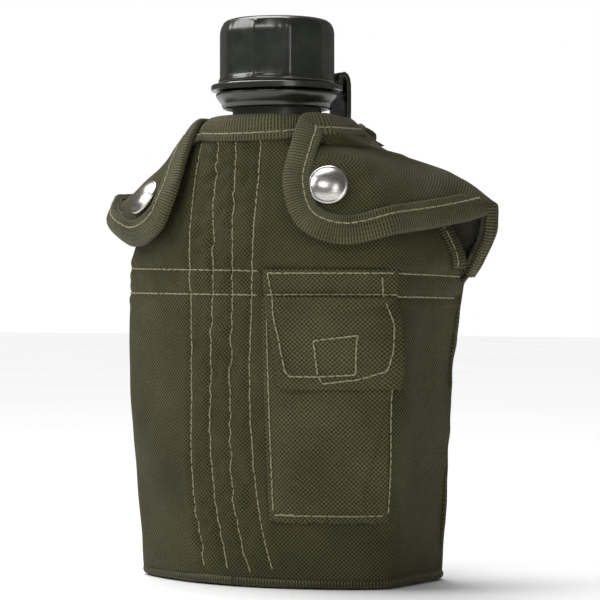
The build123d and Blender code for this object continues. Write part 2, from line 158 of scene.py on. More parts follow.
# %% [markdown]
# The cover is a coarse nylon duck: thick round threads over and under each other, 1.6 mm from one thread
# to the next but one. Two sine waves at right angles, multiplied, give that chequer. It bumps the surface,
# and it also darkens the colour in the hollows between threads, which is painted shade. The threads aren't
# even, so the waves are pushed about a little by noise, and long streaks darken single threads.

# %% Nylon duck
def woven(name, dark, light, repeat_mm, depth_mm, roughness, sheen):
    finish, tree, shader = new_finish(name, roughness, Sheen_Weight=sheen, Sheen_Roughness=0.45)
    shader.inputs["Specular IOR Level"].default_value = 0.12
    place = where(tree, uv=True)
    split = tree.nodes.new("ShaderNodeSeparateXYZ")
    tree.links.new(place, split.inputs[0])
    drift = maths(tree, "MULTIPLY", mottle(tree, place, 260, 2), 2.6)
    turns = 2 * math.pi / (repeat_mm * MM)
    across = maths(tree, "SINE", maths(tree, "ADD", maths(tree, "MULTIPLY", split.outputs[0], turns), drift))
    along = maths(tree, "SINE", maths(tree, "ADD", maths(tree, "MULTIPLY", split.outputs[1], turns), drift))
    chequer = maths(tree, "MULTIPLY", across, along)
    thread = maths(tree, "ADD", maths(tree, "MULTIPLY", chequer, 0.5), 0.5)
    streaks = mottle(tree, place, 1, 2, (140, 2600, 1))
    picks = mottle(tree, place, 1, 2, (2600, 140, 1))
    base = tone(tree, mottle(tree, place, 34, 4), dark, light)
    # Painted shade: the colour is darkened in the weave's hollows, where its height is low.
    base = shade(tree, base, thread, 0.92)
    base = shade(tree, base, maths(tree, "ADD", streaks, maths(tree, "MULTIPLY", picks, 0.6)), 0.4)
    tree.links.new(base, shader.inputs["Base Color"])
    emboss(tree, shader, maths(tree, "ADD", thread, maths(tree, "MULTIPLY", streaks, 0.5)), depth_mm, 0.8)
    return finish


nylon = woven("nylon_duck", (0.072, 0.066, 0.025), (0.118, 0.110, 0.047), 1.62, 0.34, 0.66, 0.02)
# The pocket and its flap are the same duck as the front, painted lighter: a lit copy of its finish, which is
# painted light.
pocket_nylon_painted_light = woven("nylon_pocket_painted_light", (0.096, 0.087, 0.036), (0.160, 0.146, 0.068), 1.72, 0.42, 0.62, 0.02)
print("woven finishes", nylon.name, pocket_nylon_painted_light.name)

# %% [markdown]
# The edges are bound with grosgrain: a tape with thick ribs across it. The tape's own UV map runs along
# it and across it, so the ribs stay square to the edge round every curve. The binding's colour is darker
# between its ribs, which is painted shade, and each rib is broken by the fine warp that holds it.

# %% Ribbed tape and webbing
def ribbed(name, dark, light, pitch_mm, warp_mm, depth_mm, roughness):
    finish, tree, shader = new_finish(name, roughness, Sheen_Weight=0.03, Sheen_Roughness=0.5)
    shader.inputs["Specular IOR Level"].default_value = 0.2
    place = where(tree, uv=True)
    split = tree.nodes.new("ShaderNodeSeparateXYZ")
    tree.links.new(place, split.inputs[0])
    drift = maths(tree, "MULTIPLY", mottle(tree, place, 300, 2), 2.2)
    turns = 2 * math.pi / MM
    along = maths(tree, "MULTIPLY", split.outputs[0], turns / pitch_mm)
    rib = maths(tree, "SINE", maths(tree, "ADD", along, drift))
    warp = maths(tree, "SINE", maths(tree, "MULTIPLY", split.outputs[1], turns / warp_mm))
    height = maths(tree, "ADD", maths(tree, "MULTIPLY", rib, 0.38), 0.5)
    height = maths(tree, "ADD", height, maths(tree, "MULTIPLY", maths(tree, "MULTIPLY", warp, rib), 0.30))
    base = tone(tree, mottle(tree, place, 60, 4), dark, light)
    # Painted shade: the colour is darkened between the ribs, where their height is low.
    base = shade(tree, base, height, 0.85)
    base = shade(tree, base, mottle(tree, place, 900, 2), 0.35)
    tree.links.new(base, shader.inputs["Base Color"])
    emboss(tree, shader, height, depth_mm, 0.9)
    return finish


tape = ribbed("binding_tape", (0.100, 0.092, 0.038), (0.168, 0.156, 0.072), 1.22, 1.7, 0.40, 0.6)
webbing_finish = ribbed("belt_webbing", (0.075, 0.069, 0.034), (0.122, 0.113, 0.060), 1.5, 2.2, 0.35, 0.65)
print("ribbed finishes", tape.name, webbing_finish.name)

# %% [markdown]
# Inside, the cover is lined with a napped pile, and the pocket closes with hook and loop. Both are a mat
# of fibre ends, so they're fine noise with a little sheen. The thread is a twisted yarn, and is lighter
# than the cloth.

# %% Pile, hook and loop, and thread
def napped(name, dark, light, grain, depth_mm, sheen):
    finish, tree, shader = new_finish(name, 0.9, Sheen_Weight=sheen, Sheen_Roughness=0.7)
    place = where(tree)
    fibres = mottle(tree, place, grain, 4)
    base = tone(tree, mottle(tree, place, 70, 4), dark, light)
    tree.links.new(shade(tree, base, fibres, 0.5), shader.inputs["Base Color"])
    emboss(tree, shader, fibres, depth_mm)
    return finish


pile = napped("lining_pile", (0.045, 0.042, 0.018), (0.085, 0.080, 0.038), 1400, 1.2, 0.08)
hooks = napped("hook_and_loop", (0.035, 0.033, 0.018), (0.075, 0.07, 0.04), 2200, 0.8, 0.15)
sewing, tree, shader = new_finish("sewing_thread", 0.6, Sheen_Weight=0.1)
twist = mottle(tree, where(tree), 1500, 2)
tree.links.new(tone(tree, twist, (0.175, 0.162, 0.085), (0.29, 0.27, 0.15)), shader.inputs["Base Color"])
emboss(tree, shader, twist, 0.08)
print("pile", pile.name, "thread", sewing.name)

# %% [markdown]
# The cap is glossy injection-moulded plastic, a green that is almost black. Handling has left faint
# smears, which show as changes of gloss and not of colour. The bottle is the same plastic, blow-moulded
# and duller. The seal inside the cap is rubber.

# %% Moulded plastics and rubber
def moulded(name, dark, light, roughness, grain_mm, coat):
    finish, tree, shader = new_finish(name, roughness, Coat_Weight=coat, Coat_Roughness=0.12)
    place = where(tree)
    smears = mottle(tree, place, 110, 5)
    tree.links.new(tone(tree, smears, dark, light), shader.inputs["Base Color"])
    gloss = maths(tree, "ADD", maths(tree, "MULTIPLY", smears, 0.22), roughness - 0.11)
    tree.links.new(gloss, shader.inputs["Roughness"])
    emboss(tree, shader, mottle(tree, place, 1500, 3), grain_mm, 0.5)
    return finish


cap_plastic = moulded("cap_plastic", (0.010, 0.012, 0.007), (0.018, 0.021, 0.012), 0.27, 0.03, 0.35)
bottle_plastic = moulded("bottle_plastic", (0.012, 0.013, 0.009), (0.022, 0.024, 0.016), 0.42, 0.05, 0.1)
seal_rubber = moulded("seal_rubber", (0.02, 0.02, 0.02), (0.035, 0.035, 0.035), 0.7, 0.04, 0.0)
print("moulded", cap_plastic.name, bottle_plastic.name, seal_rubber.name)

# %% [markdown]
# The snaps are polished nickel plate, with hairline scratches round them from being pressed shut. The belt
# clips are spring steel under satin olive-black paint, worn through along nothing but a few fine marks.

# %% Metals
snap_metal, tree, shader = new_finish("snap_nickel", 0.2, Metallic=1.0)
place = where(tree)
scratches = mottle(tree, place, 1, 3, (240, 240, 2400))
tree.links.new(tone(tree, scratches, (0.40, 0.385, 0.36), (0.58, 0.565, 0.53)), shader.inputs["Base Color"])
tree.links.new(maths(tree, "ADD", maths(tree, "MULTIPLY", scratches, 0.08), 0.24), shader.inputs["Roughness"])
emboss(tree, shader, scratches, 0.002, 0.1)
clip_steel, tree, shader = new_finish("clip_painted_steel", 0.4)
place = where(tree)
wear = mottle(tree, place, 420, 6)
paint = tone(tree, wear, (0.020, 0.023, 0.014), (0.15, 0.15, 0.14), 0.62, 0.80)
tree.links.new(paint, shader.inputs["Base Color"])
tree.links.new(maths(tree, "ADD", maths(tree, "MULTIPLY", wear, 0.3), 0.22), shader.inputs["Roughness"])
emboss(tree, shader, mottle(tree, place, 1800, 2), 0.04, 0.5)
print("metals", snap_metal.name, clip_steel.name)

# %% [markdown]
# The cover's shape is the CAD's shape, so its few driving numbers are repeated here, in millimetres.
# Each height has a section: how wide the bowed front is, where its corners are, how wide the back is and
# how hollow. Between 118 and 184 mm the shoulder hoods have sections of their own, one list a side.

# %% The cover's sections
def body_numbers(z):
    """front half-width, corner y, apex y, back half-width, back y, hollow, front and back corner radius"""
    swell = math.sin(min(z, 110) / 110 * math.pi / 2)
    close = (max(0.0, z - 125) / 59) ** 1.5
    wider = 7.6 * min(1.0, max(0.0, (z - 80) / 47)) ** 1.5 * (1 - 0.6 * close)
    bottom = np.array([57.5, -12, -32, 60, 37, 8, 15, 8])
    middle = np.array([63.5, -13, -36, 63.5, 39.5, 9, 17, 8])
    top = np.array([23, -13, -25.5, 22, 24, 0.8, 10, 8])
    flared = np.array([0, 0, 0, 1, 0.3, 0.3, 0, 0]) * wider
    return bottom + (middle - bottom) * swell + (top - middle) * close + flared


HOOD_Z = [118, 127, 135, 142, 150, 158, 167, 175, 184]
HOODS = {
    "right": [
        (65.5, -16, -40.0, 75.5, 42.0, 11.2, 16, 5), (65, -18, -40.5, 80.5, 42.0, 11, 16, 4),
        (62.5, -19.5, -40.4, 82.5, 41.5, 10, 16, 4), (57.5, -20, -39.5, 82.5, 40.5, 8.5, 16, 3),
        (52.8, -19.8, -37.8, 70.5, 37.5, 6, 15, 3), (46.2, -19, -35.3, 51.0, 34.0, 4, 13, 4),
        (38.4, -17.5, -32.6, 34.5, 31.5, 3, 12, 5), (30.5, -15, -29.6, 21.5, 28.0, 1, 9, 7),
    ],
    "left": [
        (65, -13, -40.0, 74.5, 42.0, 11.2, 16, 5), (73, -9, -40.5, 79.5, 42.0, 11, 16, 4),
        (79.5, -5, -40.4, 82.0, 41.5, 10, 15, 4), (78, -2, -39.6, 82.0, 40.5, 8.5, 15, 3),
        (65, 1, -38.4, 70.0, 37.5, 6, 15, 3), (52, -2, -35.6, 52.0, 34.0, 4, 13, 4),
        (41, -8, -32.6, 38.0, 31.5, 3, 12, 5), (27, -15, -29.6, 22.0, 28.0, 1, 9, 7),
    ],
}
for side, rows in HOODS.items():
    rows.insert(0, tuple(body_numbers(118)))


def hood_numbers(side, z):
    """The hood's section at a height: smooth below its ridge and above it, with a crease at the ridge."""
    first, last = (0, 4) if z <= 150 else (4, 8)
    k = min(max(np.searchsorted(HOOD_Z, z, "right") - 1, first), last - 1)
    rows = np.array(HOODS[side], float)
    step = HOOD_Z[k + 1] - HOOD_Z[k]
    u = (z - HOOD_Z[k]) / step

    def slope(i):
        a, b = max(i - 1, first), min(i + 1, last)
        return (rows[b] - rows[a]) / (HOOD_Z[b] - HOOD_Z[a]) * step

    return (
        rows[k] * (2 * u**3 - 3 * u**2 + 1) + slope(k) * (u**3 - 2 * u**2 + u)
        + rows[k + 1] * (3 * u**2 - 2 * u**3) + slope(k + 1) * (u**3 - u**2)
    )


print("body at 110 mm", body_numbers(110).round(1), "hood ridge", hood_numbers("right", 150).round(1))

# %% [markdown]
# A section becomes a line round half the cover, from the middle of the front to the middle of the back.
# Its two corners are rounded by an arc that meets both sides squarely. A point of the cover is then a
# height and a distance along that line, which is how a tailor would mark it on the cloth.

# %% Lines round the cover
def walked(line):
    return np.r_[0, np.cumsum(np.linalg.norm(np.diff(line, axis=0), axis=1))]


def point_at(line, distance):
    s = walked(line)
    return np.array([np.interp(distance, s, line[:, i]) for i in range(line.shape[1])]).T


def rounded_join(first, second, radius):
    """Joins two lines that meet in a corner, with an arc of that radius between them."""
    into = first[-1] - first[-2]
    out = second[1] - second[0]
    into, out = into / np.linalg.norm(into), out / np.linalg.norm(out)
    turn = math.acos(max(-1.0, min(1.0, float(into @ out))))
    trim = radius * math.tan(turn / 2)
    s1, s2 = walked(first), walked(second)
    trim = min(trim, s1[-1] * 0.8, s2[-1] * 0.8)
    start, end = point_at(first, s1[-1] - trim), point_at(second, trim)
    a = start - point_at(first, s1[-1] - trim - 0.5)
    b = point_at(second, trim + 0.5) - end
    reach = np.linalg.solve(np.c_[a, b], end - start)
    corner = start + a * reach[0]
    u = np.linspace(0, 1, 14)[:, None]
    w = math.cos(turn / 2)
    arc = ((1 - u) ** 2 * start + 2 * u * (1 - u) * w * corner + u**2 * end)
    arc = arc / ((1 - u) ** 2 + 2 * u * (1 - u) * w + u**2)
    return np.vstack([first[s1 < s1[-1] - trim - 0.01], arc, second[s2 > trim + 0.01]])


@lru_cache(maxsize=None)
def half_line(form, z, inset=0.0):
    """x and y round half the cover at a height, and how far along it the side seam is."""
    numbers = body_numbers(z) if form == "body" or z < 118 else hood_numbers(form, z)
    front, corner, apex, back_half, back, hollow, round_front, round_back = numbers
    front, back_half = front - inset, back_half - inset
    corner, apex, back = corner + inset, apex + inset, back - inset
    bow = (front**2 + (corner - apex) ** 2) / (2 * (corner - apex))
    a = np.linspace(0, math.asin(front / bow), 50)
    face = np.c_[bow * np.sin(a), apex + bow - bow * np.cos(a)]
    flank = np.c_[np.linspace(front, back_half, 40), np.linspace(corner, back, 40)]
    dish = (back_half**2 + hollow**2) / (2 * hollow)
    b = np.linspace(math.asin(back_half / dish), 0, 50)
    rear = np.c_[dish * np.sin(b), back - hollow + dish - dish * np.cos(b)]
    line = rounded_join(face, flank, round_front - inset / 2)
    line = rounded_join(line, rear, max(0.5, round_back - inset / 2))
    s = walked(line)
    widest = int(np.argmax(line[:, 0]))
    seam = float(np.interp(30.0, line[: widest + 1, 1], s[: widest + 1]))
    return s, line, seam


def spot(form, side, s, z, inset=0.0):
    """A point of the cover, at a distance s from the middle of the front on one side."""
    along, line, seam = half_line(form, round(float(z), 2), inset)
    x = np.interp(s, along, line[:, 0])
    return np.array([x if side == "right" else -x, np.interp(s, along, line[:, 1]), z])


def s_of(form, x, z, inset=0.0):
    """How far from the middle of the front a point is, whose distance from the neck's line is x."""
    along, line, seam = half_line(form, round(float(z), 2), inset)
    widest = int(np.argmax(line[:, 0]))
    return float(np.interp(abs(x), line[: widest + 1, 0], along[: widest + 1]))


def outward(form, side, s, z):
    """The direction square to the cover at a point."""
    d = spot(form, side, s + 0.6, z) - spot(form, side, s - 0.6, z)
    e = spot(form, side, s, min(z + 0.6, 183.9)) - spot(form, side, s, min(z, 183.2) - 0.6)
    n = np.cross(d, e) if side == "right" else np.cross(e, d)
    return n / np.linalg.norm(n)


print("seam at mid height", round(half_line("body", 90.0)[2], 1), "mm from the middle")

# %% [markdown]
# Cloth is made as rows of points laid on the cover, joined into a mesh, and given its thickness with a
# Solidify modifier. Its UV map is the distance along the cloth and up it, in metres, so the weave keeps
# one size all over. The area on that map is the area that was cut.


def only(piece):
    """Selects one piece and nothing else, because an operator acts on all that is selected."""
    bpy.ops.object.select_all(action="DESELECT")
    bpy.context.view_layer.objects.active = piece
    piece.select_set(True)


def faced_outwards(piece):
    only(piece)
    bpy.ops.object.mode_set(mode="EDIT")
    bpy.ops.mesh.select_all(action="SELECT")
    bpy.ops.mesh.normals_make_consistent(inside=False)
    bpy.ops.object.mode_set(mode="OBJECT")


def finish_modifiers(piece):
    only(piece)
    for modifier in list(piece.modifiers):
        bpy.ops.object.modifier_apply(modifier=modifier.name)


def mesh_piece(name, co, faces, finish, uv=None):
    """A piece from points in millimetres; uv has one pair for each point, in metres."""
    mesh = bpy.data.meshes.new(name)
    mesh.from_pydata((np.asarray(co) * MM).tolist(), [], [list(map(int, f)) for f in faces])
    if uv is not None:
        layer = mesh.uv_layers.new(name="cloth")
        corners = np.zeros(len(mesh.loops), int)
        mesh.loops.foreach_get("vertex_index", corners)
        layer.data.foreach_set("uv", np.asarray(uv)[corners].astype(np.float32).ravel())
    mesh.materials.append(finish)
    mesh.polygons.foreach_set("use_smooth", [True] * len(mesh.polygons))
    mesh.update()
    piece = bpy.data.objects.new(name, mesh)
    bpy.context.scene.collection.objects.link(piece)
    return piece


def cloth(name, points, uv, finish, thickness, keep=None, away=(0, 5, None)):
    """A sheet from rows of points; keep says which of its squares are cut out and used."""
    rows, cols = points.shape[:2]
    index = np.arange(rows * cols).reshape(rows, cols)
    faces = np.stack([index[:-1, :-1], index[:-1, 1:], index[1:, 1:], index[1:, :-1]], -1)
    faces = faces.reshape(-1, 4) if keep is None else faces[keep]
    used, faces = np.unique(faces, return_inverse=True)
    faces = faces.reshape(-1, 4)
    co = points.reshape(-1, 3)[used]
    flat = uv.reshape(-1, 2)[used]
    corners = co[faces]
    normal = np.cross(corners[:, 1] - corners[:, 0], corners[:, 3] - corners[:, 0])
    middle = corners.mean(1)
    centre = np.array([away[0], away[1], 0.0])
    out = middle - centre
    out[:, 2] = 0 if away[2] is None else middle[:, 2] - away[2]
    if (normal * out).sum() < 0:
        faces = faces[:, ::-1]
    piece = mesh_piece(name, co, faces, finish, flat)
    if thickness:
        wall = piece.modifiers.new("thickness", "SOLIDIFY")
        wall.thickness = thickness * MM
        wall.offset = -1
        finish_modifiers(piece)
    return piece


def speckle(x, y, size_x, size_y, seed):
    """Smooth noise from -1 to 1 over arrays, with features of the given sizes."""
    flat = [noise.noise((a / size_x, b / size_y, seed)) for a, b in zip(np.ravel(x), np.ravel(y))]
    return np.array(flat).reshape(np.shape(x)) * 1.7


def raised(points, lift):
    """Moves rows of points square to their own surface, away from the middle of the cover."""
    down = np.gradient(points, axis=0)
    across = np.gradient(points, axis=1)
    normal = np.cross(across, down)
    normal /= np.linalg.norm(normal, axis=2, keepdims=True) + 1e-9
    out = points - np.array([0, 5, 0])
    out[..., 2] = 0
    if (normal * out).sum() < 0:
        normal = -normal
    return points + normal * lift[..., None]


# %% [markdown]
# The front is one panel of cloth over padding. Four rows of stitching run down it and two run across,
# and every row pulls the cloth into a shallow valley with a soft ridge on each side. Between the rows the
# cloth has gathered, because it was eased in, so it has short wrinkles across. The relief is worked out
# once, as a height at each place, so that the thread can be laid in the same valleys afterwards.

# %% The front's relief
ROWS_DOWN = [
    [(-23.4, 175), (-21.5, 155), (-20.5, 130), (-19.7, 113), (-19.6, 99),
     (-20.6, 67), (-19.5, 35), (-17.5, 17), (-14, 5)],
    [(-12, 175), (-10, 155), (-8.7, 130), (-7.9, 115), (-9.4, 99),
     (-10.2, 76), (-9, 35), (-7, 20), (-2.5, 4)],
    [(-3, 175), (-0.6, 155), (0.5, 130), (0.9, 115), (-0.7, 84), (-0.8, 60), (0.5, 30), (3, 15), (8, 4)],
    [(8, 177), (9.5, 155), (9.3, 130), (9.5, 115), (8, 84), (8.7, 60), (10, 37), (11.6, 24), (17.5, 4)],
]
ROW_FITS = [np.poly1d(np.polyfit([z for x, z in row], [x for x, z in row], 5)) for row in ROWS_DOWN]


def row_across(u, which):
    return 123.0 - 0.02 * u if which == 0 else 113.6 - 0.0125 * u


def step_up(value, low, high):
    t = np.clip((value - low) / (high - low), 0, 1)
    return t * t * (3 - 2 * t)


def front_relief(u, z):
    """How far the front's cloth stands out, at u mm from its middle and z mm up."""
    u, z = np.asarray(u, float), np.asarray(z, float)
    lift = 0.8 * speckle(u, z, 42, 36, 1.3) + 0.3 * speckle(u, z, 15, 17, 4.1)
    for fit in ROW_FITS:
        d = u - fit(z)
        lift = lift - 0.75 * np.exp(-((d / 1.15) ** 2)) + 0.25 * np.exp(-(((np.abs(d) - 3.2) / 1.6) ** 2))
    for which in (0, 1):
        d = z - row_across(u, which)
        lift = lift - 0.6 * np.exp(-((d / 1.1) ** 2)) + 0.22 * np.exp(-(((np.abs(d) - 3.0) / 1.5) ** 2))
    gathered = step_up(u, -22, -16) * (1 - step_up(u, 6, 12))
    wrinkle = speckle(u, z + 0.3 * u, 8, 3.6, 7.7) * 0.95 + speckle(u, z - 0.5 * u, 5, 5.0, 2.2) * 0.75
    lift = lift + gathered * wrinkle * (0.5 + 0.5 * step_up(speckle(u, z, 30, 24, 9.9), -0.6, 0.4))
    lift = lift + 0.3 * step_up(u, 12.6, 13.6) * (1 - step_up(u, 15, 17)) * (1 - step_up(z, 110, 113))
    lift = lift + 0.45 * speckle(u, z, 7, 9, 5.0) * (1 - step_up(np.abs(z - 118), 3, 14))
    lift = lift * np.clip((z - 2) / 12, 0.15, 1)
    return lift


beside, within = float(front_relief(3.5, 60)), float(front_relief(-0.8, 60))
print("relief beside a row", round(beside, 2), "in it", round(within, 2))

# %% The front panel
EDGE_X = [0, 18, 31, 63, 76, 95]
EDGE_Z = [184.5, 184.5, 178, 149, 127, 127]
FRONT_Z = np.linspace(3.2, 183.8, 150)
FRONT_T = np.linspace(-1, 1, 171)


def front_rows(heights, stations, inset=0.0):
    """Points of the front between its side seams, with their distance from the middle."""
    points = np.zeros((len(heights), len(stations), 3))
    for i, z in enumerate(heights):
        along, line, seam = half_line("body", round(float(z), 2), inset)
        s = np.abs(stations) * seam
        points[i, :, 0] = np.sign(stations) * np.interp(s, along, line[:, 0])
        points[i, :, 1] = np.interp(s, along, line[:, 1])
        points[i, :, 2] = z
    seams = np.array([half_line("body", round(float(z), 2), inset)[2] for z in heights])
    return points, seams[:, None] * stations[None, :]


points, u = front_rows(FRONT_Z, FRONT_T)
height = np.repeat(FRONT_Z[:, None], len(FRONT_T), 1)
centre_x = np.abs(points[:-1, :-1, 0] + points[1:, 1:, 0]) / 2
centre_z = (height[:-1, :-1] + height[1:, 1:]) / 2
keep = centre_z < np.interp(centre_x, EDGE_X, EDGE_Z) - 4
front_points = raised(points, front_relief(u, height))
cloth_front = cloth("cloth_front", front_points, np.stack([u, height], -1) * MM, nylon, 1.3, keep)
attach(cloth_front, "cover")
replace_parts(cloth_front, "front_panel")

# %% The front's pile lining
points, u = front_rows(np.linspace(4.5, 183, 60), np.linspace(-1, 1, 64), 1.7)
height = points[..., 2]
centre_x = np.abs(points[:-1, :-1, 0] + points[1:, 1:, 0]) / 2
centre_z = (height[:-1, :-1] + height[1:, 1:]) / 2
keep = centre_z < np.interp(centre_x, EDGE_X, EDGE_Z) - 8
lining_front = cloth("lining_front", points, np.stack([u, height], -1) * MM, pile, 2.1, keep)
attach(lining_front, "cover")
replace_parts(lining_front, "front_lining")

# %% [markdown]
# The back runs on over the shoulders without a seam and comes down in front as the two flaps. So each
# side's back and flap are one cloth here too. Its rows reach from the middle of the front to the middle of
# the back, with one column on the side seam. What lies outside the flap's curved edge is cut away, a
# little inside where the binding will go.

# %% The back and the flaps
FLAP_EDGE = [(24, 184), (24, 170), (24, 156), (31, 140), (47, 133.5), (66, 138.5), (84, 148), (97, 153)]
FLAP_SHIFT = {"right": 0.0, "left": 2.5}


def curve_through(points, steps=14):
    """A smooth line through points in a plane, as a tailor's curve would draw it."""
    p = np.array(points, float)
    p = np.vstack([2 * p[0] - p[1], p, 2 * p[-1] - p[-2]])
    line = []
    for k in range(1, len(p) - 2):
        t0, t1 = (p[k + 1] - p[k - 1]) / 2, (p[k + 2] - p[k]) / 2
        for u in np.linspace(0, 1, steps, endpoint=False):
            h = (2 * u**3 - 3 * u**2 + 1, u**3 - 2 * u**2 + u, 3 * u**2 - 2 * u**3, u**3 - u**2)
            line.append(h[0] * p[k] + h[1] * t0 + h[2] * p[k + 1] + h[3] * t1)
    return np.array(line + [p[-2]])


def flap_edge(side):
    return curve_through([(x + FLAP_SHIFT[side] * (x < 60), z) for x, z in FLAP_EDGE])


def side_rows(side, heights, stations, inset=0.0):
    """Points from the middle of the front, station 0, past the side seam, 1, to the middle of the back, 2."""
    points = np.zeros((len(heights), len(stations), 3))
    u = np.zeros(points.shape[:2])
    for i, z in enumerate(heights):
        along, line, seam = half_line(side, round(float(z), 2), inset)
        s = np.where(stations <= 1, stations * seam, seam + (stations - 1) * (along[-1] - seam))
        points[i, :, 0] = np.interp(s, along, line[:, 0]) * (1 if side == "right" else -1)
        points[i, :, 1] = np.interp(s, along, line[:, 1])
        points[i, :, 2] = z
        u[i] = s
    return points, u


def cut_back(side, points, stations, margin):
    """Which squares are cloth: all behind the side seam, and the front inside the flap's edge by margin."""
    middle = (points[:-1, :-1] + points[1:, 1:]) / 2
    x, y, z = np.abs(middle[..., 0]), middle[..., 1], middle[..., 2]
    edge = flap_edge(side)
    lower = edge[np.argmax(edge[:, 0] > 24.2 + FLAP_SHIFT[side]):]
    above = z > np.interp(x, lower[:, 0], lower[:, 1]) + margin
    inside = x > 24 + (y < 22) * (FLAP_SHIFT[side] + margin)
    behind = np.broadcast_to((stations[1:] + stations[:-1])[None] / 2 > 1, x.shape)
    return np.where(behind, ~((x < 24) & (z > 176)), above & inside)


def hood_relief(side, u, z):
    """Soft folds that run from the snap towards the ridge, and the quilted waviness of the back."""
    sign = 0.0 if side == "right" else 30.0
    folds = speckle(u * 0.9 + z * 0.5, z - 0.5 * u, 26, 13, 3.3 + sign) * 0.9
    small = speckle(u, z, 9, 7, 11.1 + sign) * 0.25
    calm = 0.35 + 0.65 * step_up(z, 112, 135)
    return (folds * calm + small) * np.clip((z - 2) / 12, 0.15, 1) * (1 - step_up(z, 178, 184) * 0.7)


def eased(points, passes=24):
    """Softens the crease where the shoulder turns up to the neck, away from the flap's sewn edge."""
    points = points.copy()
    x, z = np.abs(points[1:-1, 1:-1, 0]), points[1:-1, 1:-1, 2]
    share = step_up(z, 163, 168) * (1 - step_up(z, 179, 183)) * np.clip((x - 26) / 4, 0, 1) * 0.5
    for _ in range(passes):
        around = (points[2:, 1:-1] + points[:-2, 1:-1] + points[1:-1, 2:] + points[1:-1, :-2]) / 4
        points[1:-1, 1:-1] += share[..., None] * (around - points[1:-1, 1:-1])
    return points


backs = {}
for side in ("right", "left"):
    heights = np.r_[np.linspace(3.2, 112, 60), np.linspace(113.6, 183.9, 60)]
    stations = np.r_[np.linspace(0, 1, 90), np.linspace(1, 2, 56)[1:]]
    points, u = side_rows(side, heights, stations)
    height = points[..., 2]
    keep = cut_back(side, points, stations, 4.5)
    lift = hood_relief(side, u, height)
    lift = lift * np.clip(np.abs(points[..., 0]) / 12, 0, 1)
    shaped = eased(raised(points, lift))
    piece = cloth(f"cloth_back_{side}", shaped, np.stack([u, height], -1) * MM, nylon, 1.5, keep)
    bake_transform(piece)
    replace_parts(piece, f"flap_{side}")
    backs[side] = piece
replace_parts(backs["right"], "back_panel")

# %% The back's pile lining
for side in ("right", "left"):
    stations = np.linspace(1, 2, 22)
    points, u = side_rows(side, np.linspace(4.5, 181, 50), stations, 2.1)
    keep = cut_back(side, points, stations, 6)
    piece = cloth(f"lining_back_{side}", points, np.stack([u, points[..., 2]], -1) * MM, pile, 2.0, keep)
    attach(piece, "cover")
    if side == "right":
        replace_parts(piece, "back_lining")

# %% [markdown]
# The bottom is a flat panel, and a piped welt runs all round it where it is sewn to the sides. The panel is
# made as rings that shrink towards its middle. The welt is a cord in a cloth sleeve: a round section swept
# round the outline, a little wavy because it was sewn by eye.

# %% The bottom and its welt
def outline_at(z, inset, count):
    along, line, seam = half_line("body", round(float(z), 2), inset)
    s = np.linspace(0, along[-1], count)
    half = np.c_[np.interp(s, along, line[:, 0]), np.interp(s, along, line[:, 1])]
    return np.vstack([half, half[-2:0:-1] * [-1, 1]])


def disc(name, z, inset, thickness, finish, bulge):
    ring = outline_at(0, inset, 60)
    scales = np.linspace(1, 0.06, 14)
    middle = ring.mean(0)
    rows = np.zeros((len(scales), len(ring) + 1, 3))
    for i, k in enumerate(scales):
        flat = middle + (np.vstack([ring, ring[:1]]) - middle) * k
        rows[i, :, :2] = flat
        rows[i, :, 2] = z + bulge * (1 - k * k)
    piece = cloth(name, rows, rows[..., :2] * MM, finish, thickness, None, (0, 0, 1000))
    return piece


cloth_bottom = disc("cloth_bottom", 0.1, 3.2, 1.4, nylon, 0.5)
lining_bottom = disc("lining_bottom", 1.7, 4.5, 2.0, pile, 0.5)
for piece, node, slot in ((cloth_bottom, "bottom_panel", "nylon"), (lining_bottom, "bottom_lining", "pile")):
    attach(piece, "cover")
    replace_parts(piece, node)


def tube(name, path, radius, sides, finish):
    """A round section swept round a closed line of points."""
    count = len(path)
    ahead = np.roll(path, -1, 0) - np.roll(path, 1, 0)
    ahead /= np.linalg.norm(ahead, axis=1, keepdims=True)
    side_way = np.cross(ahead, (0, 0, 1.0))
    side_way /= np.linalg.norm(side_way, axis=1, keepdims=True)
    up = np.cross(side_way, ahead)
    angle = np.linspace(0, 2 * math.pi, sides, endpoint=False)
    sideways = np.cos(angle)[None, :, None] * side_way[:, None]
    upwards = np.sin(angle)[None, :, None] * up[:, None]
    co = path[:, None] + radius * (sideways + upwards)
    faces = []
    for i in range(count):
        j = (i + 1) % count
        for k in range(sides):
            m = (k + 1) % sides
            faces.append((i * sides + k, j * sides + k, j * sides + m, i * sides + m))
    s = np.r_[0, np.cumsum(np.linalg.norm(np.diff(path, axis=0), axis=1))]
    uv = np.stack(np.broadcast_arrays(s[:, None], (angle * radius)[None]), -1).reshape(-1, 2) * MM
    return mesh_piece(name, co.reshape(-1, 3), faces, finish, uv)


ring = outline_at(1, 1.2, 130)
wave = np.array([noise.noise((x / 22, y / 22, 6.0)) for x, y in ring])
path = np.c_[ring * (1 + 0.006 * wave[:, None]), 2.15 + 0.35 * np.abs(wave)]
bottom_welt = tube("bottom_piping", path, 1.95, 14, tape)
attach(bottom_welt, "cover")
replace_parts(bottom_welt, "bottom_welt")
print("welt", round(walked(path)[-1]), "mm round,", len(bottom_welt.data.polygons), "faces")

# %% [markdown]
# A binding is a tape folded over a raw edge and sewn through. Its section is a flat hairpin, 10 mm wide on
# the outside. It is swept along the edge, with one side of the section always on the cloth's own surface.
# The sweep needs three directions at each step: along the edge, out from the cloth, and into the cloth.

# %% Binding tape round an edge
HAIRPIN = [
    (10.3, 0.1), (10.35, 0.7), (9.7, 1.15), (8.3, 1.05), (7.3, 0.72), (6.3, 1.0), (4.6, 1.25),
    (2.6, 1.35), (1.0, 1.25), (-0.1, 0.85), (-0.8, 0.1), (-0.95, -0.7), (-0.7, -1.6), (0.1, -2.2),
    (1.6, -2.5), (5.0, -2.5), (9.2, -2.5), (9.7, -2.1), (9.3, -1.7),
]


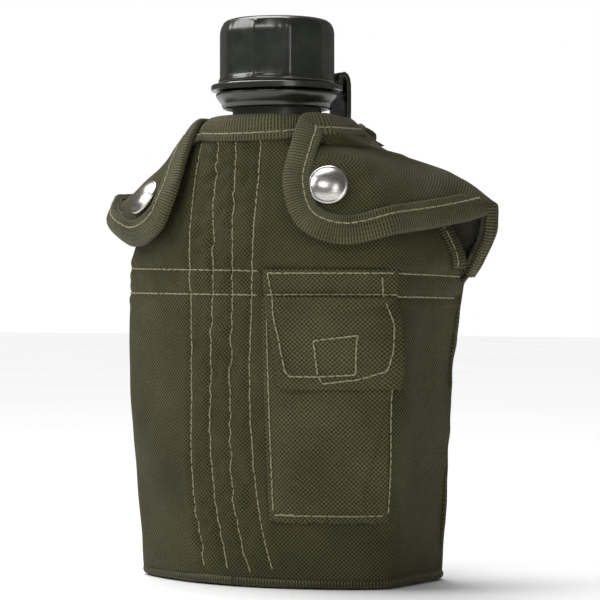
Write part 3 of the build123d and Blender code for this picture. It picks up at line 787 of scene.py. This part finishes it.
def evened(line, step=0.9, soften=2):
    """Points at an even distance along a line, with its sudden turns softened."""
    s = walked(line)
    keep = np.r_[True, np.diff(s) > 1e-6]
    line, s = line[keep], s[keep]
    count = max(4, int(s[-1] / step))
    line = np.c_[[np.interp(np.linspace(0, s[-1], count), s, line[:, i]) for i in range(line.shape[1])]].T
    for _ in range(soften):
        inner = (line[:-2] + 2 * line[1:-1] + line[2:]) / 4
        line = np.vstack([line[:1], inner, line[-1:]])
    return line


def bind(name, route, place, into, section=HAIRPIN, seed=0.0, end_width=1.0):
    """Sweeps the tape along pairs of distance and height; place(s, z) gives a point and its normal."""
    found = [place(s, z) for s, z in evened(np.array(route, float), 0.9, 3)]
    edge = np.array([p for p, n in found])
    normal = np.array([n for p, n in found])
    for _ in range(4):
        normal[1:-1] = (normal[:-2] + 2 * normal[1:-1] + normal[2:]) / 4
        edge[1:-1] = (edge[:-2] + 2 * edge[1:-1] + edge[2:]) / 4
    normal /= np.linalg.norm(normal, axis=1, keepdims=True)
    ahead = np.gradient(edge, axis=0)
    ahead /= np.linalg.norm(ahead, axis=1, keepdims=True)
    inward = np.cross(normal, ahead)
    inward /= np.linalg.norm(inward, axis=1, keepdims=True)
    if (inward * (np.array(into) - edge)).sum() < 0:
        inward = -inward
    for _ in range(6):
        inward[1:-1] = (inward[:-2] + 2 * inward[1:-1] + inward[2:]) / 4
    count, around = len(edge), len(section)
    travel = walked(edge)
    co = np.zeros((count, around, 3))
    narrow = np.interp(travel[-1] - travel, [0, 12], [end_width, 1])
    for k, (d, n) in enumerate(section):
        puff = 0.22 * np.array([noise.noise((t / 7, k * 0.35, seed)) for t in travel])
        sink = -(max(d, 0) ** 2) / 170
        depth, rise = d * narrow + puff, n + sink + puff * (n > 0)
        co[:, k] = edge + inward * depth[:, None] + normal * rise[:, None]
    faces = []
    for i in range(count - 1):
        for k in range(around):
            m = (k + 1) % around
            faces.append((i * around + k, i * around + m, (i + 1) * around + m, (i + 1) * around + k))
    faces += [tuple(range(around))[::-1], tuple((count - 1) * around + k for k in range(around))]
    across = np.r_[0, np.cumsum(np.linalg.norm(np.diff(np.array(section), axis=0), axis=1))]
    uv = np.stack(np.broadcast_arrays(travel[:, None], across[None]), -1).reshape(-1, 2) * MM
    piece = mesh_piece(name, co.reshape(-1, 3), faces, tape, uv)
    faced_outwards(piece)
    seam = [(edge[i] + inward[i] * 7.3 + normal[i] * (0.78 - 0.31), normal[i]) for i in range(count)]
    print(name, round(travel[-1], 1), "mm of tape,", len(piece.data.polygons), "faces")
    return piece, seam


def signed_body(u, z):
    side = "right" if u >= 0 else "left"
    return spot("body", side, abs(u), z), outward("body", side, abs(u), z)


def tucked(point, depth=2.4):
    """Where a point of the front's edge goes, so that the closed flap lies over it."""
    x, y, z = point
    if abs(x) < 26 or not 140 < z < 183.9:
        return np.array(point)
    along, line, seam = half_line("right" if x > 0 else "left", round(float(z), 1))
    nearest = int(np.argmin(((line - (abs(x), y)) ** 2).sum(axis=1)))
    ahead = line[min(nearest + 1, len(line) - 1)] - line[max(nearest - 1, 0)]
    outside = np.array([ahead[1], -ahead[0]]) / np.linalg.norm(ahead)
    proud = float((np.array([abs(x), y]) - line[nearest]) @ outside)
    push = max(0.0, proud + depth) * min(1.0, (abs(x) - 26) / 3)
    return np.array([x - np.sign(x) * outside[0] * push, y - outside[1] * push, z])


route = []
for x in np.linspace(0, 18, 10):
    route.append((s_of("body", x, 183.6), 183.6))
for x in np.linspace(18, 66, 40)[1:]:
    z = min(183.6, float(np.interp(x, EDGE_X, EDGE_Z)))
    route.append((min(s_of("body", x, z), half_line("body", round(z, 2))[2]), z))
for z in np.linspace(route[-1][1], 124, 14)[1:]:
    route.append((half_line("body", round(float(z), 2))[2], z))
route = [(-s, z) for s, z in reversed(route[1:])] + route
front_binding, front_binding_seam = bind("binding_front", route, signed_body, (0, -30, 60), seed=1.5)
for vertex in front_binding.data.vertices:
    vertex.co = Vector(tucked(np.array(vertex.co) / MM) * MM)
front_binding_seam = [(tucked(point), normal) for point, normal in front_binding_seam]
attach(front_binding, "cover")
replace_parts(front_binding, "front_binding")

# %% The flaps' binding, and the edges behind them
def hood_place(side):
    return lambda s, z: (spot(side, side, s, z), outward(side, side, s, z))


def s_behind(form, x, z):
    """How far round the cover a point of the back is, whose distance from the neck's line is x."""
    along, line, seam = half_line(form, round(float(z), 2))
    widest = int(np.argmax(line[:, 0]))
    return float(np.interp(-abs(x), -line[widest:, 0], along[widest:]))


seams = {}
for side in ("right", "left"):
    sign = 1 if side == "right" else -1
    edge = flap_edge(side)
    rim_end = s_of(side, edge[0, 0], 183.8)
    along, line, seam = half_line(side, 183.8)
    widest = int(np.argmax(line[:, 0]))
    rim_start = float(np.interp(14.0, line[: len(line) // 2 + 20, 1], along[: len(line) // 2 + 20]))
    route = [(s, 183.8) for s in np.linspace(rim_start, rim_end, 22)]
    for x, z in edge[1:]:
        along, line, seam = half_line(side, round(float(z), 2))
        s = s_of(side, x, min(z, 183.8))
        if np.interp(s, along, line[:, 1]) > 29.5 or s >= seam:
            route.append((seam, z))
            break
        route.append((s, min(z, 183.8)))
    tip = route[-1][1]
    towards = (sign * 45, -10, 175)
    piece, seams[side] = bind(
        f"binding_{side}", route, hood_place(side), towards, seed=3.0 + sign, end_width=0.55)
    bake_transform(piece)
    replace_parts(piece, f"flap_binding_{side}")
    hem = [(d * 0.55, n * 0.7) for d, n in HAIRPIN]
    route = [(half_line(side, round(float(z), 2))[2], z) for z in np.linspace(tip + 3.5, 121, 24)]
    towards = (sign * 60, 60, 135)
    ear = bind(f"ear_hem_{side}", route, hood_place(side), towards, hem, seed=8.0 + sign)[0]
    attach(ear, "cover")
    route = [(s_behind(side, 23.5, z), z) for z in np.linspace(182.5, 177.5, 6)]
    route += [(s_behind(side, x, 176), 176) for x in np.linspace(22.5, 0, 16)]
    towards = (sign * 12, 60, 120)
    nape = bind(f"nape_binding_{side}", route, hood_place(side), towards, hem, seed=12.0 + sign)[0]
    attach(nape, "cover")

# %% [markdown]
# The pocket is a patch of the same cloth with a pleat down its right side, so it stands off the front. Its
# flap is sewn under a folded top edge and hangs over the pocket's mouth. Both are rows of points again,
# with a lift that says how far each stands off the front.

# %% The pocket and its flap
PLEAT = [(59.5, 88), (58.8, 76.5), (55.5, 59), (53.3, 50), (50.5, 38.5), (50, 29.5), (49.5, 20)]


def s_front(x, z):
    """Like s_of, but going on at an even pace where the front turns the corner."""
    return s_of("body", min(x, 57), z) + max(0.0, x - 57) * 1.65


def pocket_lift(x, z):
    x, z = np.asarray(x, float), np.asarray(z, float)
    left = np.interp(z, [26, 113], [15.8, 14.2])
    right = np.interp(z, [26, 107], [57.3, 60])
    across = np.clip((x - left) / (right - left), 0, 1)
    dome = np.sin(math.pi * across) ** 0.6 * step_up(z, 26, 44)
    fold = np.interp(z, [p[1] for p in PLEAT][::-1], [p[0] for p in PLEAT][::-1])
    pleat = 1.3 * (1 - step_up(x - fold, -0.5, 0.4)) * step_up(z, 27, 31) * step_up(across, 0.0, 0.25)
    waves = 0.55 * speckle(x, z, 17, 26, 21.0) + 0.18 * speckle(x, z, 7, 5, 23.0)
    edges = np.minimum(step_up(across, 0, 0.12), step_up(z, 26, 31))
    rows = 0.35 * np.exp(-(((x - left - 1.9) / 0.8) ** 2)) + 0.35 * np.exp(-(((z - 28.6) / 0.8) ** 2))
    return 0.95 + 1.0 * dome + pleat + waves * edges - rows


def flap_lift(x, z):
    x, z = np.asarray(x, float), np.asarray(z, float)
    hang = step_up(z, 113.5, 104)
    curl = 0.9 * step_up(z, 84, 77.5) * (0.4 + 0.6 * np.sin((x - 20) / 7.5))
    waves = 0.5 * speckle(x, z, 14, 20, 31.0) + 0.15 * speckle(x, z, 6, 5, 33.0)
    root = 0.35 * np.exp(-(((z - 113.6) / 0.9) ** 2)) + 0.3 * np.exp(-(((z - 121.9) / 0.8) ** 2))
    return 1.0 + hang * (3.6 + 0.4 * step_up(z, 100, 84)) + (curl + waves) * np.maximum(hang, 0.3) - root


def patch_rows(left, right, heights, count, lift):
    """Rows of points of a piece that lies on the front between two curved edges."""
    points = np.zeros((len(heights), count, 3))
    flat = np.zeros((len(heights), count, 2))
    for i, z in enumerate(heights):
        xs = np.linspace(left(z), right(z), count)
        for j, x in enumerate(xs):
            s = s_front(x, z)
            points[i, j] = spot("body", "right", s, z)
            flat[i, j] = s, z
    xs = np.array([[left(z) + (right(z) - left(z)) * j / (count - 1) for j in range(count)] for z in heights])
    height = np.repeat(np.asarray(heights)[:, None], count, 1)
    return raised(points, lift(xs, height)), flat * MM


fray = random.Random(5)


def pocket_left(z):
    return float(np.interp(z, [26, 113], [15.8, 14.2]))


def pocket_right(z):
    return float(np.interp(z, [26, 107], [57.3, 60]))


points, uv = patch_rows(pocket_left, pocket_right, np.linspace(25.8, 112.5, 88), 76, pocket_lift)
points[0, :, 2] += [fray.uniform(-0.7, 0.5) for _ in range(76)]
# The pocket's cloth is the duck painted lighter, as painted light.
pocket = cloth("pocket_cloth", points, uv, pocket_nylon_painted_light, 0.75, None, (0, 60, None))
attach(pocket, "cover")
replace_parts(pocket, "pocket")


def flap_left_edge(z):
    return float(np.interp(z, [77.4, 98, 113, 123], [22.0, 19.0, 15.0, 14.6]))


def flap_right_edge(z):
    return float(np.interp(z, [77.4, 84, 95, 106, 113, 123], [60.2, 61.0, 61.2, 60.8, 60.6, 61.2]))


points, uv = patch_rows(flap_left_edge, flap_right_edge, np.linspace(77.4, 123.1, 52), 70, flap_lift)
# The flap's cloth is the duck painted lighter too, as painted light.
pocket_flap = cloth("pocket_flap_cloth", points, uv, pocket_nylon_painted_light, 0.75, None, (0, 60, None))
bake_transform(pocket_flap)
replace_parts(pocket_flap, "pocket_flap", "pocket_flap_root")

TAPES = [("loop_tape", "loop_patch", "cover", 3.4), ("hook_tape", "hook_patch", "pocket_flap", 4.2)]
for name, node, body, out in TAPES:
    heights = np.linspace(82.5, 98, 16)
    points, uv = patch_rows(lambda z: 34.5, lambda z: 50.0, heights, 16, lambda x, z: out + 0 * x)
    piece = cloth(name, points, uv, hooks, 0.6, None, (0, 60, None))
    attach(piece, body)
    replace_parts(piece, node)

# %% [markdown]
# Every seam is sewn with a lockstitch: short lengths of thread that lie on the cloth and dip into it at
# each end. One stitch is a bent capsule of a few faces, and a run of them follows a line on the cloth. The
# lines are the same ones that pressed the valleys into the relief, so the thread lies at their bottom.

# %% Sewing
def stitched(name, runs, stitch=3.05, pitch=3.1, radius=0.33, seed=1):
    """Stitches along runs of points and normals, in millimetres."""
    pick = random.Random(seed)
    co, faces = [], []
    rings = [
        (0.0, 0.6, -0.3), (0.1, 0.9, 0.4), (0.35, 1.0, 0.75), (0.65, 1.0, 0.75), (0.9, 0.9, 0.4), (1.0, 0.6, -0.3),
    ]
    for run in runs:
        points = np.array([p for p, n in run])
        normals = np.array([n for p, n in run])
        s = walked(points)
        at = pick.uniform(0, 1)
        while at + stitch < s[-1]:
            length = stitch * pick.uniform(0.88, 1.1)
            sway = pick.uniform(-0.14, 0.14)
            first = len(co)
            for t, size, dip in rings:
                d = at + t * length
                p = np.array([np.interp(d, s, points[:, i]) for i in range(3)])
                n = np.array([np.interp(d, s, normals[:, i]) for i in range(3)])
                n /= np.linalg.norm(n)
                q = np.array([np.subtract(*np.interp([d + 0.3, d - 0.3], s, points[:, i])) for i in range(3)])
                q /= np.linalg.norm(q) + 1e-9
                b = np.cross(n, q)
                centre = p + n * radius * dip + b * sway * (2 * t - 1)
                for k in range(6):
                    a = k * math.pi / 3
                    co.append(centre + radius * size * (math.cos(a) * b + math.sin(a) * n))
            for r in range(len(rings) - 1):
                for k in range(6):
                    m, ring = (k + 1) % 6, first + r * 6
                    faces.append((ring + k, ring + m, ring + 6 + m, ring + 6 + k))
            last = first + (len(rings) - 1) * 6
            faces += [tuple(first + k for k in range(6))[::-1], tuple(last + k for k in range(6))]
            at += pitch * pick.uniform(0.94, 1.08)
    piece = mesh_piece(name, np.array(co), faces, sewing)
    faced_outwards(piece)
    print(name, len(faces) // 32, "stitches")
    return piece


def on_front(route):
    """A run on the front's own cloth, down in its relief."""
    run = []
    for u, z in evened(np.array(route, float), 0.8, 2):
        side = "right" if u >= 0 else "left"
        normal = outward("body", side, abs(u), z)
        run.append((spot("body", side, abs(u), z) + normal * float(front_relief(u, z)), normal))
    return run


def on_patch(route, lift):
    """A run on the pocket or its flap, given by x and height."""
    run = []
    for x, z in evened(np.array(route, float), 0.8, 1):
        s = s_front(x, z)
        normal = outward("body", "right", s, z)
        run.append((spot("body", "right", s, z) + normal * (float(lift(x, z)) + 0.05), normal))
    return run


runs = []
for fit in ROW_FITS:
    runs.append(on_front([(float(fit(z)), z) for z in np.linspace(176, 5, 60)]))
seam_u = half_line("body", 118.0)[2] - 1.5
POCKET_NEAR, POCKET_FAR = 13.5, 66
for which in (0, 1):
    for start, end, count in ((-seam_u, POCKET_NEAR, 60), (POCKET_FAR, seam_u, 30)):
        runs.append(on_front([(u, row_across(u, which)) for u in np.linspace(start, end, count)]))
front_stitches = stitched("front_stitches", runs, seed=2)
runs = [on_patch([(pocket_left(z) + 1.9, z) for z in np.linspace(112, 28.6, 40)], pocket_lift)]
runs.append(on_patch([(x, 28.6) for x in np.linspace(17.5, 57, 30)], pocket_lift))
runs.append(on_patch([(x, 28.9) for x in np.linspace(26.5, 17.2, 12)], pocket_lift))
runs.append(on_patch([(57.3, 28.6), (58.4, 50), (58.9, 76), (59.2, 84)], pocket_lift))
pocket_stitches = stitched("pocket_stitches", runs, seed=3)
SQUARE = [
    (16.5, 122.2), (18.6, 112), (21.8, 98.4), (24.5, 84), (26, 82.3), (36, 82.3), (48.4, 83),
    (48.8, 96.1), (49.8, 98), (42, 97), (34.5, 96), (35.4, 88), (36, 82.8), (37.7, 79.6), (49.8, 81.4),
    (57.6, 84.3), (58.8, 92.2), (59.2, 101.5), (58, 109.6), (57.4, 113), (57.0, 122.2),
]
runs = [on_patch(SQUARE, flap_lift)]
runs.append(on_patch([(x, 113.5) for x in np.linspace(15.5, 61, 30)], flap_lift))
runs.append(on_patch([(x, 121.8) for x in np.linspace(15.5, 61, 30)], flap_lift))
flap_stitches = stitched("pocket_flap_stitches", runs, seed=4)
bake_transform(flap_stitches)
binding_stitches = stitched("front_binding_stitches", [front_binding_seam], seed=5)
for piece in (front_stitches, pocket_stitches, binding_stitches):
    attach(piece, "cover")
for side in ("right", "left"):
    piece = stitched(f"binding_stitches_{side}", [seams[side]], seed=6)
    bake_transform(piece)

# %% [markdown]
# The back carries two bands of webbing that hold the belt clips against it. Each band is sewn flat at its
# ends and in the middle, and is raised where a clip passes under it, so its lift changes along its length.

# %% Webbing on the back
def band_lift(x):
    return 1.5 + 2.5 * step_up(np.abs(x), 10.8, 13.6) * (1 - step_up(np.abs(x), 42.4, 45.2))


def band(name, bottom, top):
    heights = np.linspace(bottom, top, 9)
    xs = np.linspace(-49.8, 49.8, 120)
    points = np.zeros((len(heights), len(xs), 3))
    for i, z in enumerate(heights):
        for j, x in enumerate(xs):
            points[i, j] = spot("body", "right" if x >= 0 else "left", s_behind("body", x, z), z)
    lift = np.repeat((band_lift(xs) + 0.12 * np.sin(xs / 3.1))[None], len(heights), 0)
    lift[0] -= 0.25
    lift[-1] -= 0.25
    uv = np.stack(np.broadcast_arrays(xs[None], heights[:, None]), -1) * MM
    shaped = points + np.array([0, 1.0, 0]) * lift[..., None]
    piece = cloth(name, shaped, uv, webbing_finish, 1.4, None, (0, 0, None))
    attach(piece, "cover")
    runs = []
    for x in (-47.5, -9.2, -7.0, 7.0, 9.2, 47.5):
        y = float(np.interp(x, xs, shaped[4, :, 1])) + 0.05
        climb = np.linspace(bottom + 1.5, top - 1.5, 20)
        runs.append([(np.array([x, y, z]), np.array([0, 1.0, 0])) for z in climb])
    sewn = stitched(f"{name}_stitches", runs, seed=11)
    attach(sewn, "cover")
    return piece


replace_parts(band("webbing_band_upper", 94, 117), "webbing_upper")
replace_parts(band("webbing_band_lower", 61, 71), "webbing_lower")

# %% [markdown]
# Hard round pieces are turned by hand: a circle is added, and its edge is extruded and scaled again and
# again, up the profile. That keeps every ring in step, so the sides can be shaped afterwards by selecting
# a few columns and scaling them, and a Bevel modifier rounds what is left sharp.

# %% Turning a piece from a circle
def turned(name, profile, segments, finish, closed=False):
    """Extrudes and scales a ring of vertices through (radius, height) pairs, in millimetres."""
    bpy.ops.object.select_all(action="DESELECT")
    radius, height = profile[0]
    bpy.ops.mesh.primitive_circle_add(vertices=segments, radius=radius * MM, location=(0, 0, height * MM))
    piece = bpy.context.object
    piece.name = piece.data.name = name
    bpy.ops.object.transform_apply(location=True)
    bpy.ops.object.mode_set(mode="EDIT")
    bpy.ops.mesh.select_all(action="SELECT")
    if not closed:
        bpy.ops.mesh.edge_face_add()
    for (r0, z0), (r1, z1) in zip(profile, profile[1:]):
        bpy.ops.mesh.extrude_region_move(TRANSFORM_OT_translate={"value": (0, 0, (z1 - z0) * MM)})
        k = r1 / r0
        bpy.ops.transform.resize(value=(k, k, 1), center_override=(0, 0, z1 * MM))
    if closed:
        bpy.ops.mesh.select_all(action="SELECT")
        bpy.ops.mesh.remove_doubles(threshold=0.00001)
    else:
        bpy.ops.mesh.edge_face_add()
    bpy.ops.mesh.select_all(action="SELECT")
    bpy.ops.mesh.normals_make_consistent(inside=False)
    bpy.ops.mesh.select_all(action="DESELECT")
    bpy.ops.object.mode_set(mode="OBJECT")
    piece.data.materials.append(finish)
    return piece


def smoothed(piece, angle=35):
    only(piece)
    bpy.ops.object.shade_smooth_by_angle(angle=math.radians(angle))
    return piece


def pressed(piece, chosen, scale):
    """Scales the chosen vertices towards the neck's axis, in edit mode."""
    only(piece)
    bpy.ops.object.mode_set(mode="EDIT")
    bpy.ops.mesh.select_all(action="DESELECT")
    bpy.ops.object.mode_set(mode="OBJECT")
    for vertex in piece.data.vertices:
        vertex.select = bool(chosen(vertex.co))
    bpy.ops.object.mode_set(mode="EDIT")
    bpy.ops.transform.resize(value=(scale, scale, 1), center_override=(0, 0, 0.2))
    bpy.ops.object.mode_set(mode="OBJECT")


# %% [markdown]
# The cap has ten long finger grips. Its profile is turned first, from the middle of its ceiling down the
# bore, out under the skirt and up the outside to a domed top. Then the columns within each grip are
# scaled inwards in four steps, each narrower than the last, which hollows the grip smoothly.

# %% The cap
CAP_PROFILE = [
    (1.0, 220.1), (10, 220.1), (20.2, 220.1), (20.2, 204), (20.2, 187.7), (20.6, 187.6), (21.4, 187.7),
    (21.9, 188.2), (22.0, 189.2), (22.5, 190.0), (23.6, 191.4), (24.3, 192.6), (24.5, 193.4),
    (24.3, 194.1), (23.2, 194.5), (21.9, 194.6), (21.9, 197.3), (22.9, 197.5), (23.35, 197.9),
    (23.5, 198.7), (23.3, 199.6), (23.0, 200.6), (23.0, 204), (23.0, 209), (23.0, 214), (23.0, 217.6),
    (22.85, 219.3), (22.35, 220.9), (21.5, 222.2), (20.2, 223.1), (18.6, 223.6), (16.5, 223.8),
    (12, 223.9), (6, 223.95), (1.0, 223.95),
]
cap = turned("cap_moulded", CAP_PROFILE, 160, cap_plastic)
GRIP_TURN = math.radians(8)


def grip(width, low, high):
    """Chooses the outside of the cap within so many degrees of a grip's middle."""
    def chosen(co):
        if not (low * MM < co.z < high * MM) or math.hypot(co.x, co.y) < 0.0212:
            return False
        angle = math.degrees((math.atan2(co.y, co.x) - GRIP_TURN) % (math.pi / 5))
        return min(angle, 36 - angle) < width
    return chosen


for width, scale in ((15.4, 0.989), (12.6, 0.991), (9.6, 0.993), (6.0, 0.996)):
    pressed(cap, grip(width, 199.9, 221.5), scale)
cap_bevel = cap.modifiers.new("edges", "BEVEL")
cap_bevel.width = 0.0003
cap_bevel.segments = 2
cap_bevel.limit_method = "ANGLE"
cap_bevel.angle_limit = math.radians(28)
finish_modifiers(cap)
smoothed(cap, 40)
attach(cap, "cap")
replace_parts(cap, "cap")
print("cap", len(cap.data.polygons), "faces")

# %% [markdown]
# A loose ring sits in a groove under the cap, and a flat strap moulded with it arches up, over and down to
# a second ring round the bottle's neck. The ring is turned. The strap is one edge, extruded step by step
# along its arch and then given a thickness, which is how a flat bar is easily bent.

# %% The ring and strap
RING_PROFILE = [
    (22.05, 195.0), (22.3, 194.85), (26.0, 194.85), (26.4, 195.2), (26.4, 197.0), (26.0, 197.38),
    (22.3, 197.38), (22.05, 197.2), (22.05, 195.0),
]
cap_ring = smoothed(turned("cap_ring", RING_PROFILE, 128, cap_plastic, closed=True), 40)
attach(cap_ring, "cap_loop")
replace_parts(cap_ring, "cap_loop")
STRAP_TURN = math.radians(58)
STRAP_WAY = Vector((math.cos(STRAP_TURN), math.sin(STRAP_TURN), 0))
STRAP_ACROSS = Vector((-math.sin(STRAP_TURN), math.cos(STRAP_TURN), 0))
ARCH = [
    (20.2, 180.2), (26.0, 180.2), (28.2, 180.7), (28.9, 182.4), (29.0, 188), (29.0, 194),
    (28.95, 198.5), (28.6, 200.6), (27.9, 202.0), (26.9, 202.7), (25.9, 202.5), (25.4, 201.6),
    (25.3, 199.6), (25.25, 197.6), (25.1, 196.2),
]


def strap_bar(name, arch, width, thickness):
    bpy.ops.object.select_all(action="DESELECT")
    bpy.ops.mesh.primitive_plane_add(size=1)
    bar = bpy.context.object
    bar.name = bar.data.name = name
    bpy.ops.object.mode_set(mode="EDIT")
    bpy.ops.mesh.select_all(action="SELECT")
    bpy.ops.mesh.merge(type="CENTER")
    bpy.ops.object.mode_set(mode="OBJECT")
    start = STRAP_WAY * arch[0][0] * MM + Vector((0, 0, arch[0][1] * MM)) - STRAP_ACROSS * width / 2 * MM
    bpy.ops.object.mode_set(mode="EDIT")
    bpy.ops.mesh.select_all(action="SELECT")
    bpy.ops.transform.translate(value=start)
    for _ in range(4):
        bpy.ops.mesh.extrude_region_move(TRANSFORM_OT_translate={"value": STRAP_ACROSS * width / 4 * MM})
    bpy.ops.mesh.select_all(action="SELECT")
    for (r0, z0), (r1, z1) in zip(arch, arch[1:]):
        move = STRAP_WAY * (r1 - r0) * MM + Vector((0, 0, (z1 - z0) * MM))
        bpy.ops.mesh.extrude_region_move(TRANSFORM_OT_translate={"value": move})
    bpy.ops.mesh.select_all(action="SELECT")
    bpy.ops.mesh.normals_make_consistent(inside=False)
    bpy.ops.object.mode_set(mode="OBJECT")
    wall = bar.modifiers.new("thickness", "SOLIDIFY")
    wall.thickness = thickness * MM
    wall.offset = 0
    rounding = bar.modifiers.new("edges", "BEVEL")
    rounding.width = 0.0005
    rounding.segments = 3
    rounding.limit_method = "ANGLE"
    rounding.angle_limit = math.radians(50)
    finish_modifiers(bar)
    bar.data.materials.append(cap_plastic)
    return smoothed(bar, 40)


strap = strap_bar("strap_arch", ARCH, 15, 1.9)
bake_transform(strap)
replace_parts(strap, "cap_strap")
print("strap", len(strap.data.polygons), "faces")

# %% [markdown]
# Each snap's cap is a shallow polished dome with a rolled rim, set square to the flap. It is turned on the
# neck's axis like the rest, and then moved to its place on the flap, and the move is applied to its mesh.

# %% The snaps' caps
SNAPS = {
    "right": ((39.8, -28.986, 155.5), (0.4276, -0.8559, 0.2909)),
    "left": ((-46.0, -26.610, 152.5), (-0.4376, -0.7269, 0.5293)),
}
DOME = [
    (2.0, -0.6), (7.2, -0.6), (7.7, -0.2), (7.85, 0.3), (7.6, 0.75), (7.1, 0.95), (6.75, 0.98),
    (6.45, 1.15), (5.6, 1.7), (4.6, 2.2), (3.4, 2.62), (2.2, 2.86), (1.1, 2.97), (0.3, 3.0),
]
for side, (place, way) in SNAPS.items():
    dome = turned(f"snap_dome_{side}", DOME, 64, snap_metal)
    facing = Vector(way).to_track_quat("Z", "Y").to_matrix().to_4x4()
    dome.matrix_world = Matrix.Translation(Vector(place) * MM) @ facing
    only(dome)
    bpy.ops.object.transform_apply(location=True, rotation=True, scale=True)
    smoothed(dome, 50)
    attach(dome, f"flap_{side}")
    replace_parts(dome, f"snap_cap_{side}")
    print(dome.name, len(dome.data.polygons), "faces")

# %% [markdown]
# The bottle, the belt clips and the snaps' inner pieces already have the right shape in the CAD model.
# Each is copied, its loose triangles are merged, and it is shaded smooth except at its true edges, so
# that its finish can show. The copy takes the CAD piece's place.

# %% Pieces carried over from the CAD
def carried(node, body, finish, angle=32):
    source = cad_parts[node]
    mesh = source.data.copy()
    piece = bpy.data.objects.new(f"{node}_piece", mesh)
    bpy.context.scene.collection.objects.link(piece)
    mesh.materials.clear()
    mesh.materials.append(finish)
    only(piece)
    bpy.ops.object.mode_set(mode="EDIT")
    bpy.ops.mesh.select_all(action="SELECT")
    bpy.ops.mesh.remove_doubles(threshold=0.000005)
    bpy.ops.mesh.normals_make_consistent(inside=False)
    bpy.ops.object.mode_set(mode="OBJECT")
    if "custom_normal" in mesh.attributes:
        mesh.attributes.remove(mesh.attributes["custom_normal"])
    smoothed(piece, angle)
    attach(piece, body)
    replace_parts(piece, node)
    print(piece.name, len(piece.data.polygons), "faces")
    return piece


carried("bottle", "cover", bottle_plastic, 40)
carried("neck_loop", "cover", cap_plastic)
carried("cap_seal", "cap", seal_rubber)
for side in ("right", "left"):
    carried(f"belt_clip_{side}", "cover", clip_steel)
    carried(f"clip_slide_{side}", f"clip_slide_{side}", clip_steel)
    carried(f"snap_socket_{side}", f"flap_{side}", snap_metal)
    carried(f"snap_stud_{side}", "cover", snap_metal)
    carried(f"snap_post_{side}", "cover", snap_metal)

# %% [markdown]
# The set is a pale floor under soft light. A large panel high on the left front is the main light, a
# second on the right fills, and a strip gives the cap and the snaps something to reflect. The camera stands
# thirty degrees round to the right, level with the middle of the cover, with a long lens.

# %% Floor, lights and camera
bpy.ops.object.select_all(action="DESELECT")
bpy.ops.mesh.primitive_plane_add(size=12, location=(0, 0, min(cad_box[0][2], 0.0) - 0.0002))
floor = bpy.context.object
floor.name = "floor"
floor_finish, tree, shader = new_finish("floor_paper", 0.85)
paper = tone(tree, mottle(tree, where(tree), 3), (0.90, 0.90, 0.90), (0.93, 0.93, 0.93))
tree.links.new(paper, shader.inputs["Base Color"])
floor.data.materials.append(floor_finish)


def panel(name, place, target, width, height, power):
    light = bpy.data.lights.new(name, "AREA")
    light.shape = "RECTANGLE"
    light.size, light.size_y, light.energy = width, height, power
    lamp = bpy.data.objects.new(name, light)
    bpy.context.scene.collection.objects.link(lamp)
    lamp.location = place
    lamp.rotation_euler = (Vector(target) - Vector(place)).to_track_quat("-Z", "Y").to_euler()
    return lamp


panel("key", (-0.80, -0.60, 0.80), (0, 0, 0.10), 0.5, 0.5, 6)
panel("fill", (0.95, -0.75, 0.45), (0, 0, 0.12), 0.4, 0.6, 2.2)
panel("strip", (0.12, -0.85, 0.62), (0, 0, 0.18), 0.5, 0.10, 1.6)
sun = bpy.data.lights.new("overhead", "SUN")
sun.energy, sun.angle = 3.05, math.radians(50)
overhead = bpy.data.objects.new("overhead", sun)
bpy.context.scene.collection.objects.link(overhead)
overhead.rotation_euler = (math.radians(-8), math.radians(-22), 0)
world = bpy.data.worlds.new("studio")
bpy.context.scene.world = world
world.use_nodes = True
tree = world.node_tree
tree.nodes["Background"].inputs["Color"].default_value = (1, 1, 1, 1)
seen = tree.nodes.new("ShaderNodeLightPath").outputs["Is Camera Ray"]
strength = maths(tree, "ADD", maths(tree, "MULTIPLY", seen, 0.86), 0.14)
tree.links.new(strength, tree.nodes["Background"].inputs["Strength"])
lens = bpy.data.cameras.new("camera")
lens.lens, lens.sensor_width = 148.2, 36
camera = bpy.data.objects.new("camera", lens)
bpy.context.scene.collection.objects.link(camera)
camera.location = (0.503, -0.8528, 0.1115)
camera.rotation_euler = Vector((-0.5, 0.866, 0)).to_track_quat("-Z", "Y").to_euler()
bpy.context.scene.camera = camera
bpy.context.scene.view_settings.view_transform = "Standard"
